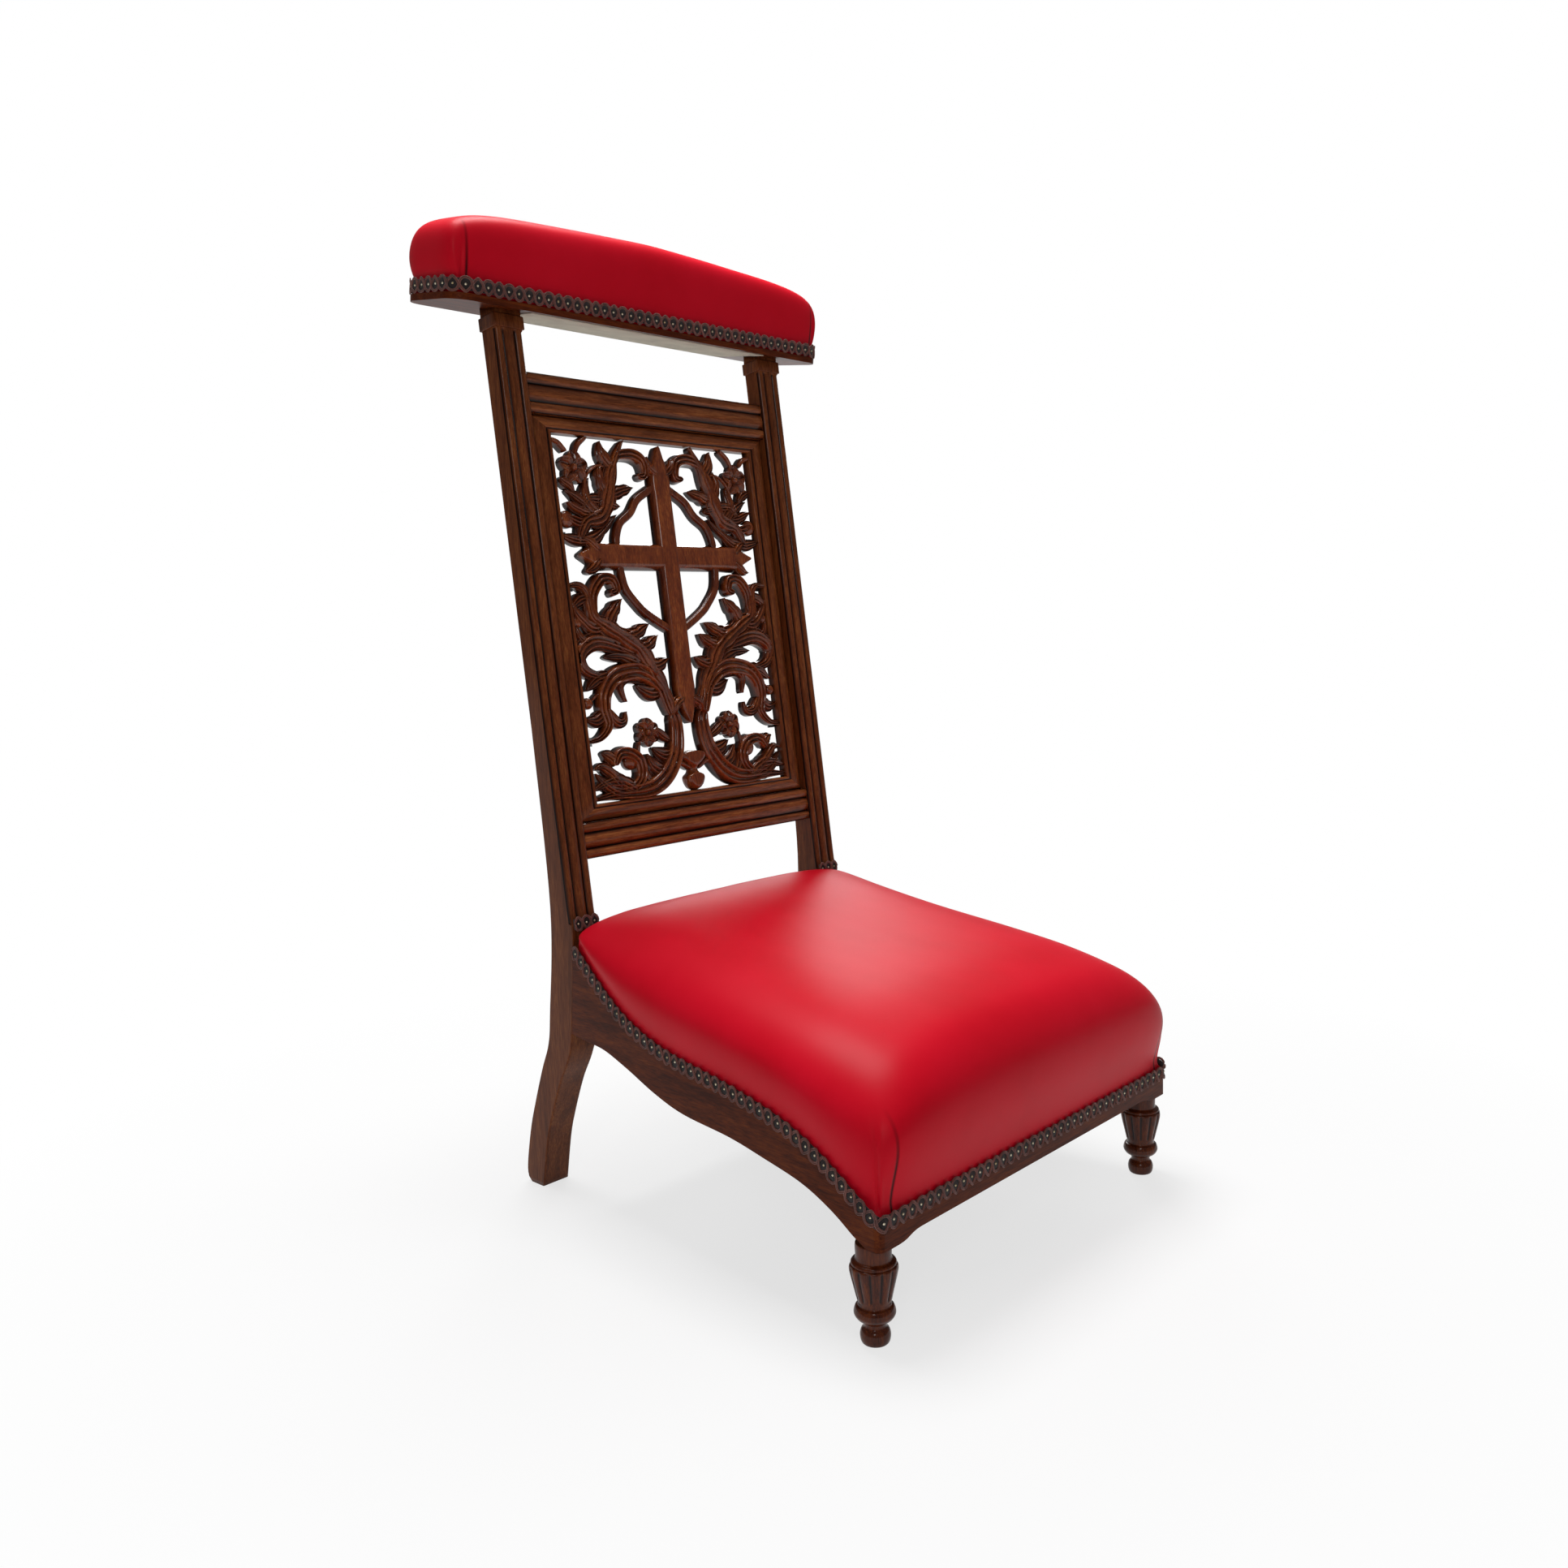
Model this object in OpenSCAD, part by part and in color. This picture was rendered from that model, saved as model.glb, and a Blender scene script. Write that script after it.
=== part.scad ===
// Low kneeling chair with a raked carved back, an upholstered seat and a padded arm rest.
// The front faces -Y, the origin is under the middle of the whole chair, and lengths are millimetres.

/* [Seat frame] */
// Width over the seat frame at the front
seat_front_w = 463; // [440:1:490]
// Width over the two back posts
back_w = 396; // [380:1:420]
// Distance from the front of the seat frame back to the fronts of the posts
seat_d = 416; // [408:1:420]
// Height of the seat's crown above the floor at the back
crown_z = 304; // [298:1:310]
// Thickness of the seat rails
rail_t = 22; // [20:1:25]
// Height of the braid's middle above the floor at the front
braid_front_z = 108; // [100:1:114]
// Height of the braid's middle above the floor at the posts
braid_back_z = 272; // [262:1:280]
// Depth of the front rail below the braid's middle
front_rail_drop = 19; // [17:0.5:22]

/* [Back] */
// Lean of the back posts in degrees
rake = 6.8; // [5:0.1:9]
// Width of each back post seen from the front
post_w = 32; // [28:1:36]
// How far the plane of the posts' fronts lies, at the floor, in front of the back end of the seat frame
back_step = 40.7; // [36:0.1:46]
// Depth of each back post at its top
post_top_d = 23.5; // [22:0.5:28]
// Height of the top rail's upper edge, measured up the slope
top_rail_top = 834; // [826:1:840]
// Height of the top rail
top_rail_h = 40; // [34:1:44]
// Height of the bottom rail's lower edge, measured up the slope
bottom_rail_low = 348; // [344:1:360]
// Height of the bottom rail
bottom_rail_h = 36; // [30:1:40]
// Thickness of the two back rails
back_rail_t = 18; // [16:1:20]

/* [Carved panel] */
// Thickness of the carved board
carving_t = 12; // [9:0.5:13]
// Width of the panel moulding at the sides
moulding_side_w = 26; // [22:0.5:27]
// Width of the panel moulding at the top and bottom
moulding_top_w = 17; // [15:0.5:19]
// Width of the cross's bars
cross_w = 29; // [24:0.5:30]

/* [Arm rest] */
// Length of the arm rest board
arm_w = 508; // [490:1:530]
// How far the front edge of the arm rest board stands in front of the posts
arm_overhang = 20.2; // [16:0.1:24]
// Depth of the arm rest board from front to back
arm_d = 92; // [86:1:104]
// Height of the board's lower front edge above the floor
arm_z = 880; // [874:1:886]
// Slope of the arm rest up towards the back in degrees
arm_tilt = 8.3; // [6:0.1:9]
// Height of the padding's crown above the board's underside
arm_crown = 91; // [80:1:104]

/* [Front legs] */
// Height of the turned part of a leg
leg_h = 84; // [82:0.5:85]
// Largest radius of a leg
leg_r = 19.8; // [18:0.1:21]
// Number of reeds round a leg's vase
leg_reeds = 12; // [8:1:16]

/* [Trim] */
// Height of the scroll braid
braid_h = 15; // [12:0.5:16]
// Thickness of the scroll braid
braid_t = 2; // [1.5:0.1:2.5]
// Distance between two pins of the braid
pin_pitch = 11.6; // [10:0.1:24]
// Thickness of the leather with its wadding
leather_t = 4; // [3:0.5:5]
// Gap between soft pieces and their neighbours
soft_gap = 0.3; // [0.2:0.1:0.5]
// Gap left round a pin or tenon that sits in its own hole
fit_gap = 0.05; // [0.02:0.01:0.1]

/* [Hidden] */

// Colours as the photograph shows them
wood = "#4a2414";
dark_wood = "#2c150d";
leather = "#a30b1e";
braid_brown = "#3a1c1a";
pin_metal = "#c9b48c";
linen = "#b3ab98";
jute = "#9a8560";
hair = "#6b5b48";
steel = "#8d9095";

// Positions along Y, with the whole chair centred on the origin
overhang = 11.9;
arm_reach = seat_d - back_step + arm_z * tan(rake) - arm_overhang;
front_y = (overhang - arm_reach - arm_d * cos(arm_tilt)) / 2;
arm_front_y = front_y + arm_reach;
post_front_y = front_y + seat_d;
front_x = seat_front_w / 2;
back_x = back_w / 2;
post_in_x = back_x - post_w;

// Lean of the back: where the front plane of the posts lies at a height z
rake_y0 = post_front_y - back_step;
function rake_y(z) = rake_y0 + z * tan(rake);

// Points of a cubic curve, and of a smooth line through hand-set points
function mix(a, b, t) = a + (b - a) * t;
function bezier(p, n) = [for (i = [0 : n]) let (t = i / n, s = 1 - t)
    s * s * s * p[0] + 3 * s * s * t * p[1] + 3 * s * t * t * p[2] + t * t * t * p[3]];
function knot(p, i) = p[max(0, min(len(p) - 1, i))];
function spline_at(p, i, t) = let (a = knot(p, i - 1), b = knot(p, i), c = knot(p, i + 1), d = knot(p, i + 2))
    (2 * b + (c - a) * t + (2 * a - 5 * b + 4 * c - d) * t * t + (3 * b - a - 3 * c + d) * t * t * t) / 2;
function spline(p, n) = concat(
    [for (i = [0 : len(p) - 2]) for (k = [0 : n - 1]) spline_at(p, i, k / n)], [p[len(p) - 1]]);
function turn_back(p) = [for (i = [len(p) - 1 : -1 : 0]) p[i]];
function unit(v) = v / norm(v);
function left_of(p, i) = let (d = unit(p[min(i + 1, len(p) - 1)] - p[max(i - 1, 0)])) [-d[1], d[0]];
function shifted(p, o) = [for (i = [0 : len(p) - 1]) p[i] + left_of(p, i) * o];

// Outer face of a side rail at a given y, and the braid's middle line on it, as shares of the depth
function frame_x(y) = mix(back_x, front_x, max(0, post_front_y - y) / seat_d);
curve_steps = 6;
braid_shares = [[0, 1], [0.06, 0.865], [0.13, 0.73], [0.21, 0.6], [0.31, 0.505], [0.41, 0.455],
    [0.57, 0.405], [0.68, 0.355], [0.76, 0.305], [0.84, 0.225], [0.91, 0.125], [0.96, 0.05], [1, 0]];
function side_line(shares) = [for (s = spline(shares, curve_steps))
    [post_front_y - s[0] * seat_d, mix(braid_front_z, braid_back_z, s[1])]];
braid_line = side_line(braid_shares);
function braid_z(y) = lookup(-y, [for (p = braid_line) [-p[0], p[1]]]);
// Lower edge of a side rail, as shares of the depth and of the braid's rise
lower_shares = [[0, 0.405], [0.06, 0.39], [0.13, 0.375], [0.22, 0.31], [0.32, 0.225], [0.42, 0.17],
    [0.57, 0.145], [0.68, 0.105], [0.79, 0.055], [0.87, -0.02], [0.93, -0.105]];
corner_share = 0.965;
lower_line = concat(side_line(lower_shares),
    [[post_front_y - corner_share * seat_d, leg_h], [front_y, leg_h]]);

// Modules that lay out the chair

module mirror_x(left) {
    mirror([left ? 1 : 0, 0, 0]) children();
}

// Plane of the back: x across, y into the back from the posts' fronts, z up the slope
module in_back() {
    translate([0, rake_y0, 0]) rotate([-rake, 0, 0]) children();
}

// Plane of the arm rest: x across, y from front to back, z up from the board's underside
module in_armrest() {
    translate([0, arm_front_y, arm_z]) rotate([arm_tilt, 0, 0]) children();
}

// Prism of an outline given as [y, z] points, across x from x0 to x1
module side_prism(outline, x0, x1) {
    translate([x0, 0, 0]) rotate([90, 0, 90]) linear_extrude(x1 - x0) polygon(outline);
}

// Prism of an outline given as [x, z] points, from y0 to y1
module front_prism(outline, y0, y1) {
    translate([0, y1, 0]) rotate([90, 0, 0]) linear_extrude(y1 - y0) polygon(outline);
}

// Back posts
seat_post_z = 300;
foot_sweep = 104;
post_mid_d = 25.2;
post_seat_d = 31.8;
post_mid_share = 0.3;
// Edges of the swept rear leg, as shares of the foot's sweep and of the height where the straight post starts
leg_front_shares = [[0.344, 1], [0.32, 0.882], [0.414, 0.579], [0.49, 0.487], [0.655, 0.385], [0.823, 0.247],
    [0.908, 0.156], [1, 0]];
leg_back_shares = [[1.2, 0], [1.245, 0.012], [1.257, 0.06], [1.167, 0.198], [1.051, 0.313], [0.917, 0.43],
    [0.801, 0.52], [0.749, 0.627]];
function leg_point(s) = [rake_y0 + s[0] * foot_sweep, s[1] * seat_post_z];
// Where the front of a post meets the sloping underside of the arm rest
top_front_y = (rake_y0 + tan(rake) * (arm_z - arm_front_y * tan(arm_tilt))) / (1 - tan(rake) * tan(arm_tilt));
top_front_z = arm_z + (top_front_y - arm_front_y) * tan(arm_tilt);
mid_z = mix(seat_post_z, arm_z, post_mid_share);
post_outline = concat([[top_front_y, top_front_z]],
    spline([for (s = leg_front_shares) leg_point(s)], 4),
    spline(concat([for (s = leg_back_shares) leg_point(s)],
        [[rake_y(seat_post_z) + post_seat_d, seat_post_z], [rake_y(mid_z) + post_mid_d, mid_z]]), 4),
    [[top_front_y + post_top_d, top_front_z + post_top_d * tan(arm_tilt)]]);
block_h = 14;
block_lip = 1.6;
block_gap = 1;
reed_depth = 3;
tenon_l = 14;
tenon_t = 8;

// Section cut away from a front face of width w between convex reeds of the given shares
reed_shares = [0.28, 0.44, 0.28];
function reed_start(k) = k == 0 ? 0 : reed_start(k - 1) + reed_shares[k - 1];
module reed_cut(w) {
    difference() {
        translate([-w / 2 - reed_depth, -reed_depth]) square([w + 2 * reed_depth, 2 * reed_depth]);
        for (k = [0 : len(reed_shares) - 1])
            let (half = reed_shares[k] * w / 2,
                r = (half * half + reed_depth * reed_depth) / (2 * reed_depth))
                translate([(reed_start(k) - 0.5) * w + half, r]) intersection() {
                    circle(r, $fn = 64);
                    translate([-half, -r]) square([2 * half, r + reed_depth]);
                }
        translate([-w / 2 - reed_depth, reed_depth]) square([w + 2 * reed_depth, reed_depth]);
    }
}

rail_set = 4;
tenon_share = 0.6;
module back_tenon(z, h, gap) {
    translate([post_in_x - tenon_l / 2, back_rail_t / 2 - tenon_t / 2 + rail_set - gap,
        z + h * (1 - tenon_share) / 2 - gap])
        cube([tenon_l * 3 / 2 + gap, tenon_t + 2 * gap, h * tenon_share + 2 * gap]);
}

seat_tenon_h = 44;
seat_tenon_z = 200;
tenon_inset = 7;
tenon_root = 4;
module seat_tenon(gap) {
    translate([back_x - tenon_inset - tenon_t - gap, post_front_y - tenon_root, seat_tenon_z - gap])
        cube([tenon_t + 2 * gap, tenon_l + tenon_root + gap, seat_tenon_h + 2 * gap]);
}

post_braid_gap = 1;
seat_back_y = rake_y(braid_back_z) - braid_t - post_braid_gap - soft_gap;
rear_rail_y = seat_back_y + soft_gap;
rear_rail_low = 192;
rear_rail_top = 274;
tenon_back = 2;
module rear_tenon(gap) {
    translate([post_in_x - tenon_root, rear_rail_y + rail_t - tenon_t - tenon_back - gap,
        seat_tenon_z + tenon_root - gap])
        cube([tenon_root + tenon_l + gap, tenon_t + 2 * gap, seat_tenon_h + 2 * gap]);
}

module back_post() {
    difference() {
        union() {
            side_prism(post_outline, post_in_x, back_x);
            in_back() translate([post_in_x - block_lip, -block_lip, top_front_z / cos(rake) - block_h])
                cube([post_w + 2 * block_lip, post_top_d + 2 * block_lip, block_h - block_gap]);
        }
        in_back() translate([back_x - post_w / 2, 0, braid_back_z + braid_h])
            linear_extrude(top_front_z / cos(rake) - braid_back_z - braid_h - block_h)
                offset(delta = 0) reed_cut(post_w);
        in_back() {
            back_tenon(top_rail_top - top_rail_h, top_rail_h, fit_gap);
            back_tenon(bottom_rail_low, bottom_rail_h, fit_gap);
        }
        seat_tenon(fit_gap);
        rear_tenon(fit_gap);
        armrest_screw(fit_gap);
    }
}

module back_post_left() {
    color(wood) mirror_x(true) back_post();
}

module back_post_right() {
    color(wood) back_post();
}

// Back rails with three reeds and a tenon at each end
module back_rail(z, h) {
    in_back() {
        difference() {
            translate([-post_in_x + fit_gap, rail_set, z])
                cube([2 * (post_in_x - fit_gap), back_rail_t, h]);
            translate([post_in_x, rail_set, z + h / 2]) rotate([0, -90, 0])
                linear_extrude(2 * post_in_x) rotate(90) mirror([0, 1]) reed_cut(h);
        }
        for (left = [false, true]) mirror_x(left) back_tenon(z, h, 0);
    }
}

module top_rail() {
    color(wood) back_rail(top_rail_top - top_rail_h, top_rail_h);
}

module bottom_rail() {
    color(wood) back_rail(bottom_rail_low, bottom_rail_h);
}

// Moulding round the panel, mitred at its corners
panel_x = post_in_x - fit_gap;
panel_low = bottom_rail_low + bottom_rail_h + fit_gap;
panel_high = top_rail_top - top_rail_h - fit_gap;
open_x = panel_x - moulding_side_w;
open_low = panel_low + moulding_top_w;
open_high = panel_high - moulding_top_w;
carving_set = 6.8;
moulding_crest = 7.4;
moulding_fall = 6.3;
panel_back = carving_set + carving_t;
crest_share = 0.8;
lip_share = 0.35;

// Section of the moulding: it rises in a round from its outer edge to a crest near the panel
module moulding_section(w) {
    low = moulding_crest + moulding_fall;
    lip = moulding_crest + moulding_fall * lip_share;
    polygon(concat([[0, panel_back]],
        bezier([[0, low], [w * 0.15, mix(low, moulding_crest, 0.9)], [w * 0.4, moulding_crest],
            [w * crest_share, moulding_crest]], 10),
        [[w, lip], [w, panel_back]]));
}

module moulding_side() {
    intersection() {
        translate([panel_x, 0, panel_low]) linear_extrude(panel_high - panel_low)
            mirror([1, 0]) moulding_section(moulding_side_w);
        front_prism([[open_x, open_low], [panel_x, panel_low], [panel_x, panel_high], [open_x, open_high]],
            0, post_w);
    }
}

module moulding_level() {
    intersection() {
        translate([-panel_x, 0, panel_low]) rotate([90, 0, 90]) linear_extrude(2 * panel_x)
            mirror([1, -1]) moulding_section(moulding_top_w);
        front_prism([[-panel_x, panel_low], [panel_x, panel_low], [open_x, open_low], [-open_x, open_low]],
            0, post_w);
    }
}

module panel_moulding_top() {
    color(wood) in_back() translate([0, 0, panel_low + panel_high]) mirror([0, 0, 1]) moulding_level();
}

module panel_moulding_bottom() {
    color(wood) in_back() moulding_level();
}

module panel_moulding_left() {
    color(wood) in_back() mirror_x(true) moulding_side();
}

module panel_moulding_right() {
    color(wood) in_back() moulding_side();
}

// Carved panel: shares are percent of the opening's half width, measured from the middle of its lower edge
carve_unit = open_x / 100;
open_y = open_high - open_low;
curve_n = 4;
function at(p) = p * carve_unit;

// Band along a smooth line, with its widths at the start, in the middle and at the end
module band(shares, width_shares) {
    line = spline([for (s = shares) at(s)], curve_n);
    last = len(line) - 1;
    function half_w(i) = at(mix(width_shares[i < last / 2 ? 0 : 2], width_shares[1],
        sin(180 * i / last))) / 2;
    polygon(concat([for (i = [0 : last]) line[i] + left_of(line, i) * half_w(i)],
        [for (i = [last : -1 : 0]) line[i] - left_of(line, i) * half_w(i)]));
}

module bands(shares) {
    for (b = shares) band(b[0], b[1]);
}

module blob(shares) {
    translate([at(shares[0]), at(shares[1])]) circle(at(shares[2]), $fn = 32);
}

petal_share = 0.43;
petal_out_share = 0.57;
module flower(shares, petals) {
    r = at(shares[2]);
    translate([at(shares[0]), at(shares[1])]) {
        circle(r * petal_share, $fn = 24);
        for (k = [1 : petals]) rotate(90 + 360 * k / petals)
            translate([r * petal_out_share, 0]) circle(r * petal_share, $fn = 24);
    }
}

// Cross with flared ends, and a lobed ring behind it
cross_mid_share = 181;
bar_share = cross_w / (2 * carve_unit);
cross_top_shares = [[0, 267], [6, 263], [11.5, 255], [bar_share, 247],
    [bar_share, cross_mid_share + bar_share]];
cross_arm_shares = [[73, cross_mid_share + bar_share], [79, 194], [83, 190], [80, 186], [86, 181], [80, 176],
    [83, 172], [79, 168], [73, cross_mid_share - bar_share]];
cross_low_shares = [[bar_share, cross_mid_share - bar_share], [bar_share, 68], [12.5, 60], [6, 57], [0, 51]];
ring_top_shares = [[6, 235], [14, 231], [25, 224], [33, 214], [44, 206], [49, 196], [50, 188]];
ring_low_shares = [[6, 125], [14, 129], [29, 138], [36, 144], [46, 156], [49, 169], [49, 176]];
ring_width_shares = [7.1, 7.1, 7.1];
module cross_half() {
    polygon([for (s = concat(cross_top_shares, cross_arm_shares, cross_low_shares)) at(s)]);
    band(ring_top_shares, ring_width_shares);
    band(ring_low_shares, ring_width_shares);
}

// Acanthus in the upper corner, with a flower
// Centre across, centre up and radius of the buds, berries and flowers
upper_bud_shares = [93, 207, 6.4];
upper_flower_shares = [82, 245, 12.1];
upper_petals = 5;
lower_bud_shares = [62, 28, 6.4];
lower_flower_shares = [43, 48, 10.7];
lower_petals = 6;
high_berry_shares = [96, 132, 4.3];
low_berry_shares = [95, 73, 4.3];
upper_leaf_shares = [
    [[[86, 190], [77, 205], [62, 211], [55, 223], [50, 240], [43, 254], [34, 268]], [4.3, 10.7, 2.9]],
    [[[101, 195], [86, 192], [72, 193], [60, 201], [47, 212]], [2.1, 6.4, 2.9]],
    [[[50, 226], [40, 230], [28, 233]], [5.7, 7.1, 2.1]],
    [[[54, 222], [49, 219], [43, 218]], [4.3, 5.7, 2.1]],
    [[[45, 252], [38, 257], [26, 258], [17, 253], [16, 243], [23, 242]], [2.9, 6.4, 4.3]],
    [[[55, 226], [60, 240], [57, 250]], [5.7, 6.4, 2.1]],
    [[[58, 222], [72, 222], [80, 214]], [4.3, 6.4, 2.9]],
    [[[72, 212], [82, 214], [93, 219]], [3.6, 6.4, 3.6]],
    [[[93, 208], [84, 205], [77, 206]], [4.3, 5.7, 4.3]],
    [[[54, 247], [62, 247], [72, 239], [76, 225], [78, 217]], [2.1, 2.9, 2.1]],
    [[[68, 268], [76, 262], [80, 254]], [3.6, 5, 2.1]],
    [[[88, 256], [94, 262], [101, 264]], [2.9, 5, 4.3]]
];
module upper_leaves() {
    bands(upper_leaf_shares);
    blob(upper_bud_shares);
    flower(upper_flower_shares, upper_petals);
}

// Large scroll along the bottom, with a flower and a volute
lower_scroll_shares = [
    [[[17, 62], [14, 54], [15, 40], [19, 28], [28, 16], [40, 8], [54, 5], [78, 5],
        [101, 3]], [11.4, 10, 2.9]],
    [[[52, 42], [54, 34], [52, 26]], [2.9, 3.6, 2.9]],
    [[[80, 26], [74, 34], [64, 34], [55, 27], [55, 15], [65, 8], [76, 12]], [5.7, 7.1, 5.7]],
    [[[76, 27], [84, 34], [89, 36]], [7.1, 8.6, 2.1]],
    [[[72, 8], [80, 18], [90, 26], [97, 25]], [5.7, 7.1, 2.9]],
    [[[36, 50], [28, 44], [20, 40]], [3.6, 5.7, 4.3]]
];
module lower_scroll() {
    bands(lower_scroll_shares);
    flower(lower_flower_shares, lower_petals);
    blob(lower_bud_shares);
}

// Middle scroll, and the acanthus that grows from it to the frame
middle_scroll_shares = [
    [[[18, 59], [20, 66], [26, 82], [42, 93], [57, 94], [71, 90], [80, 80], [82, 68], [80, 56],
        [89, 47], [101, 45]], [5.7, 9.3, 2.9]],
    [[[79, 68], [72, 58], [64, 58], [62, 65]], [4.3, 5.7, 2.1]],
    [[[30, 86], [43, 90], [57, 91], [64, 84], [61, 72]], [4.3, 7.1, 2.1]]
];
module middle_scroll() {
    bands(middle_scroll_shares);
}

lower_leaf_shares = [
    [[[15, 59], [17, 68], [22, 80], [33, 97], [42, 110], [57, 120], [72, 129], [82, 136],
        [86, 154], [93, 159], [101, 158]], [5, 10.7, 3.6]],
    [[[34, 98], [24, 98], [14, 103]], [7.1, 8.6, 2.1]],
    [[[43, 110], [32, 114], [22, 121]], [7.1, 8.6, 2.1]],
    [[[55, 119], [44, 122], [29, 130]], [7.1, 8.6, 2.1]],
    [[[70, 128], [64, 138], [53, 149]], [7.1, 9.3, 2.1]],
    [[[80, 138], [80, 152], [71, 163], [61, 163], [58, 155], [64, 153]], [4.3, 6.4, 5.7]],
    [[[45, 107], [60, 113], [80, 118], [93, 114], [99, 106], [95, 97], [85, 93],
        [74, 94]], [3.6, 8.6, 4.3]],
    [[[86, 116], [95, 121], [98, 130]], [5.7, 5.7, 3.6]],
    [[[80, 80], [86, 79], [92, 75]], [2.1, 2.9, 2.1]],
    [[[92, 117], [97, 112], [101, 110]], [4.3, 5.7, 4.3]]
];
module lower_leaves() {
    bands(lower_leaf_shares);
    blob(high_berry_shares);
    blob(low_berry_shares);
}

// Pendant in the middle of the lower edge
pendant_shares = [[0, 31], [11, 29], [12, 25], [5, 18], [5, 14], [9, 11], [9, 6], [0, -3]];
pendant_curl_shares = [
    [[[4, 17], [14, 22], [22, 20]], [4.3, 5, 4.3]]
];
module pendant_half() {
    bands(pendant_curl_shares);
    polygon([for (s = pendant_shares) at(s)]);
}

// The whole openwork outline, with its narrow clefts closed
cleft = 0.5;
module carving_outline() {
    intersection() {
        offset(delta = -cleft) offset(delta = cleft) for (left = [false, true]) mirror([left ? 1 : 0, 0]) {
            cross_half();
            upper_leaves();
            lower_scroll();
            middle_scroll();
            lower_leaves();
            pendant_half();
        }
        translate([-open_x + fit_gap, fit_gap]) square([2 * (open_x - fit_gap), open_y - 2 * fit_gap]);
    }
}

module carved_panel() {
    color(wood) in_back() translate([0, panel_back, open_low]) rotate([90, 0, 0])
        linear_extrude(carving_t) offset(delta = 0) carving_outline();
}

// Small plates behind the panel's edge that hold it against the moulding
clip_w = 9;
clip_l = 20;
clip_t = 1.2;
clip_shares = [0.168, 0.4, 0.59, 0.727];
module panel_clips() {
    color(steel) in_back() for (left = [false, true], s = clip_shares) mirror_x(left)
        translate([open_x - clip_l / 2, panel_back, mix(open_low, open_high, s) - clip_w / 2])
            cube([clip_l, clip_t, clip_w]);
}

// Seat rails: a shown lower part and a set-back upper part that carries the cover's edge
corner_r = 7;
rail_ledge = 9;
rail_rise = 28;
rise_share = 0.3;
rise_start = 30;
corner_cx = frame_x(front_y + corner_r) - corner_r;
function corner_arc(r, a0, a1) = [for (i = [0 : 4]) let (a = mix(a0, a1, i / 4))
    [corner_cx + r * cos(a), front_y + corner_r - r * sin(a)]];
inner_y = front_y + rail_t;
inner_x = frame_x(inner_y) - rail_t;
mitre = [corner_arc(corner_r, 45, 45)[0], [inner_x, inner_y]];
ledge_corner = mix(mitre[0], mitre[1], rail_ledge / rail_t);
function crown_at(y) = crown_z * lookup((post_front_y - y) / seat_d, crown_line);
crown_shares = [[0, 1], [0.3, 0.928], [0.5, 0.88], [0.75, 0.826], [0.9, 0.792], [1.02, 0.79]];
crown_line = spline(crown_shares, curve_steps);
function rise_at(y) = max(0, min(rail_rise, rise_share * (crown_at(y) - braid_z(y) - rise_start)));

module side_plan() {
    polygon(concat([[back_x, post_front_y + rail_t]], [[back_x, post_front_y]], corner_arc(corner_r, 0, 45),
        [[inner_x, inner_y], [back_x - rail_t, post_front_y], [back_x - rail_t, post_front_y + rail_t]]));
}

module side_plan_upper() {
    polygon([[back_x - rail_ledge, post_front_y], [frame_x(ledge_corner[1]) - rail_ledge, ledge_corner[1]],
        [0, ledge_corner[1]], [0, post_front_y]]);
}

module side_rail() {
    upper = [for (p = braid_line) [p[0], p[1] + rise_at(p[0])]];
    difference() {
        intersection() {
            union() {
                side_prism(concat([[post_front_y + rail_t, braid_back_z]], braid_line, turn_back(lower_line),
                    [[post_front_y + rail_t, lower_line[0][1]]]), 0, front_x);
                intersection() {
                    side_prism(concat(upper, turn_back(lower_line)), 0, front_x);
                    linear_extrude(arm_z) side_plan_upper();
                }
            }
            linear_extrude(arm_z) side_plan();
        }
        side_prism(post_outline, 0, front_x);
        leg_dowel(fit_gap);
        corner_dowel(fit_gap);
        block_screw_side(fit_gap);
    }
    seat_tenon(0);
}

module side_rail_left() {
    color(wood) mirror_x(true) side_rail();
}

module side_rail_right() {
    color(wood) side_rail();
}

leg_dowel_r = 6;
leg_dowel_l = 15;
bracket_w = 30;
front_low_z = braid_front_z - front_rail_drop;
function both_sides(p) = concat(p, [for (q = turn_back(p)) [-q[0], q[1]]]);
module front_rail() {
    bracket = bezier([[inner_x - bracket_w, front_low_z], [inner_x - bracket_w / 2, front_low_z],
        [inner_x - bracket_w / 2, leg_h], [inner_x, leg_h]], 6);
    top = braid_front_z + rise_at(front_y);
    color(wood) difference() {
        intersection() {
            union() {
                front_prism(both_sides(concat(bracket, [[front_x, leg_h], [front_x, braid_front_z]])),
                    front_y, inner_y);
                front_prism([[-front_x, leg_h + leg_dowel_l], [front_x, leg_h + leg_dowel_l], [front_x, top],
                    [-front_x, top]], ledge_corner[1], inner_y);
            }
            linear_extrude(arm_z)
                polygon(both_sides(concat(turn_back(corner_arc(corner_r, 45, 90)), [[inner_x, inner_y]])));
        }
        for (left = [false, true]) mirror_x(left) {
            leg_dowel(fit_gap);
            corner_dowel(fit_gap);
            block_screw_front(fit_gap);
        }
    }
}

module rear_rail() {
    color(wood) {
        translate([-post_in_x, rear_rail_y, rear_rail_low])
            cube([2 * post_in_x, rail_t, rear_rail_top - rear_rail_low]);
        for (left = [false, true]) mirror_x(left) rear_tenon(0);
    }
}

// Dowels across the front corners' mitres
corner_dowel_r = 3;
corner_dowel_l = 16;
corner_dowel_z = (leg_h + leg_dowel_l + braid_front_z) / 2;
module corner_dowel(gap) {
    translate([(corner_cx + corner_r + inner_x) / 2, (front_y + inner_y) / 2, corner_dowel_z])
        rotate([0, 90, 45])
        cylinder(h = corner_dowel_l + 2 * gap, r = corner_dowel_r + gap, center = true, $fn = 32);
}

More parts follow.
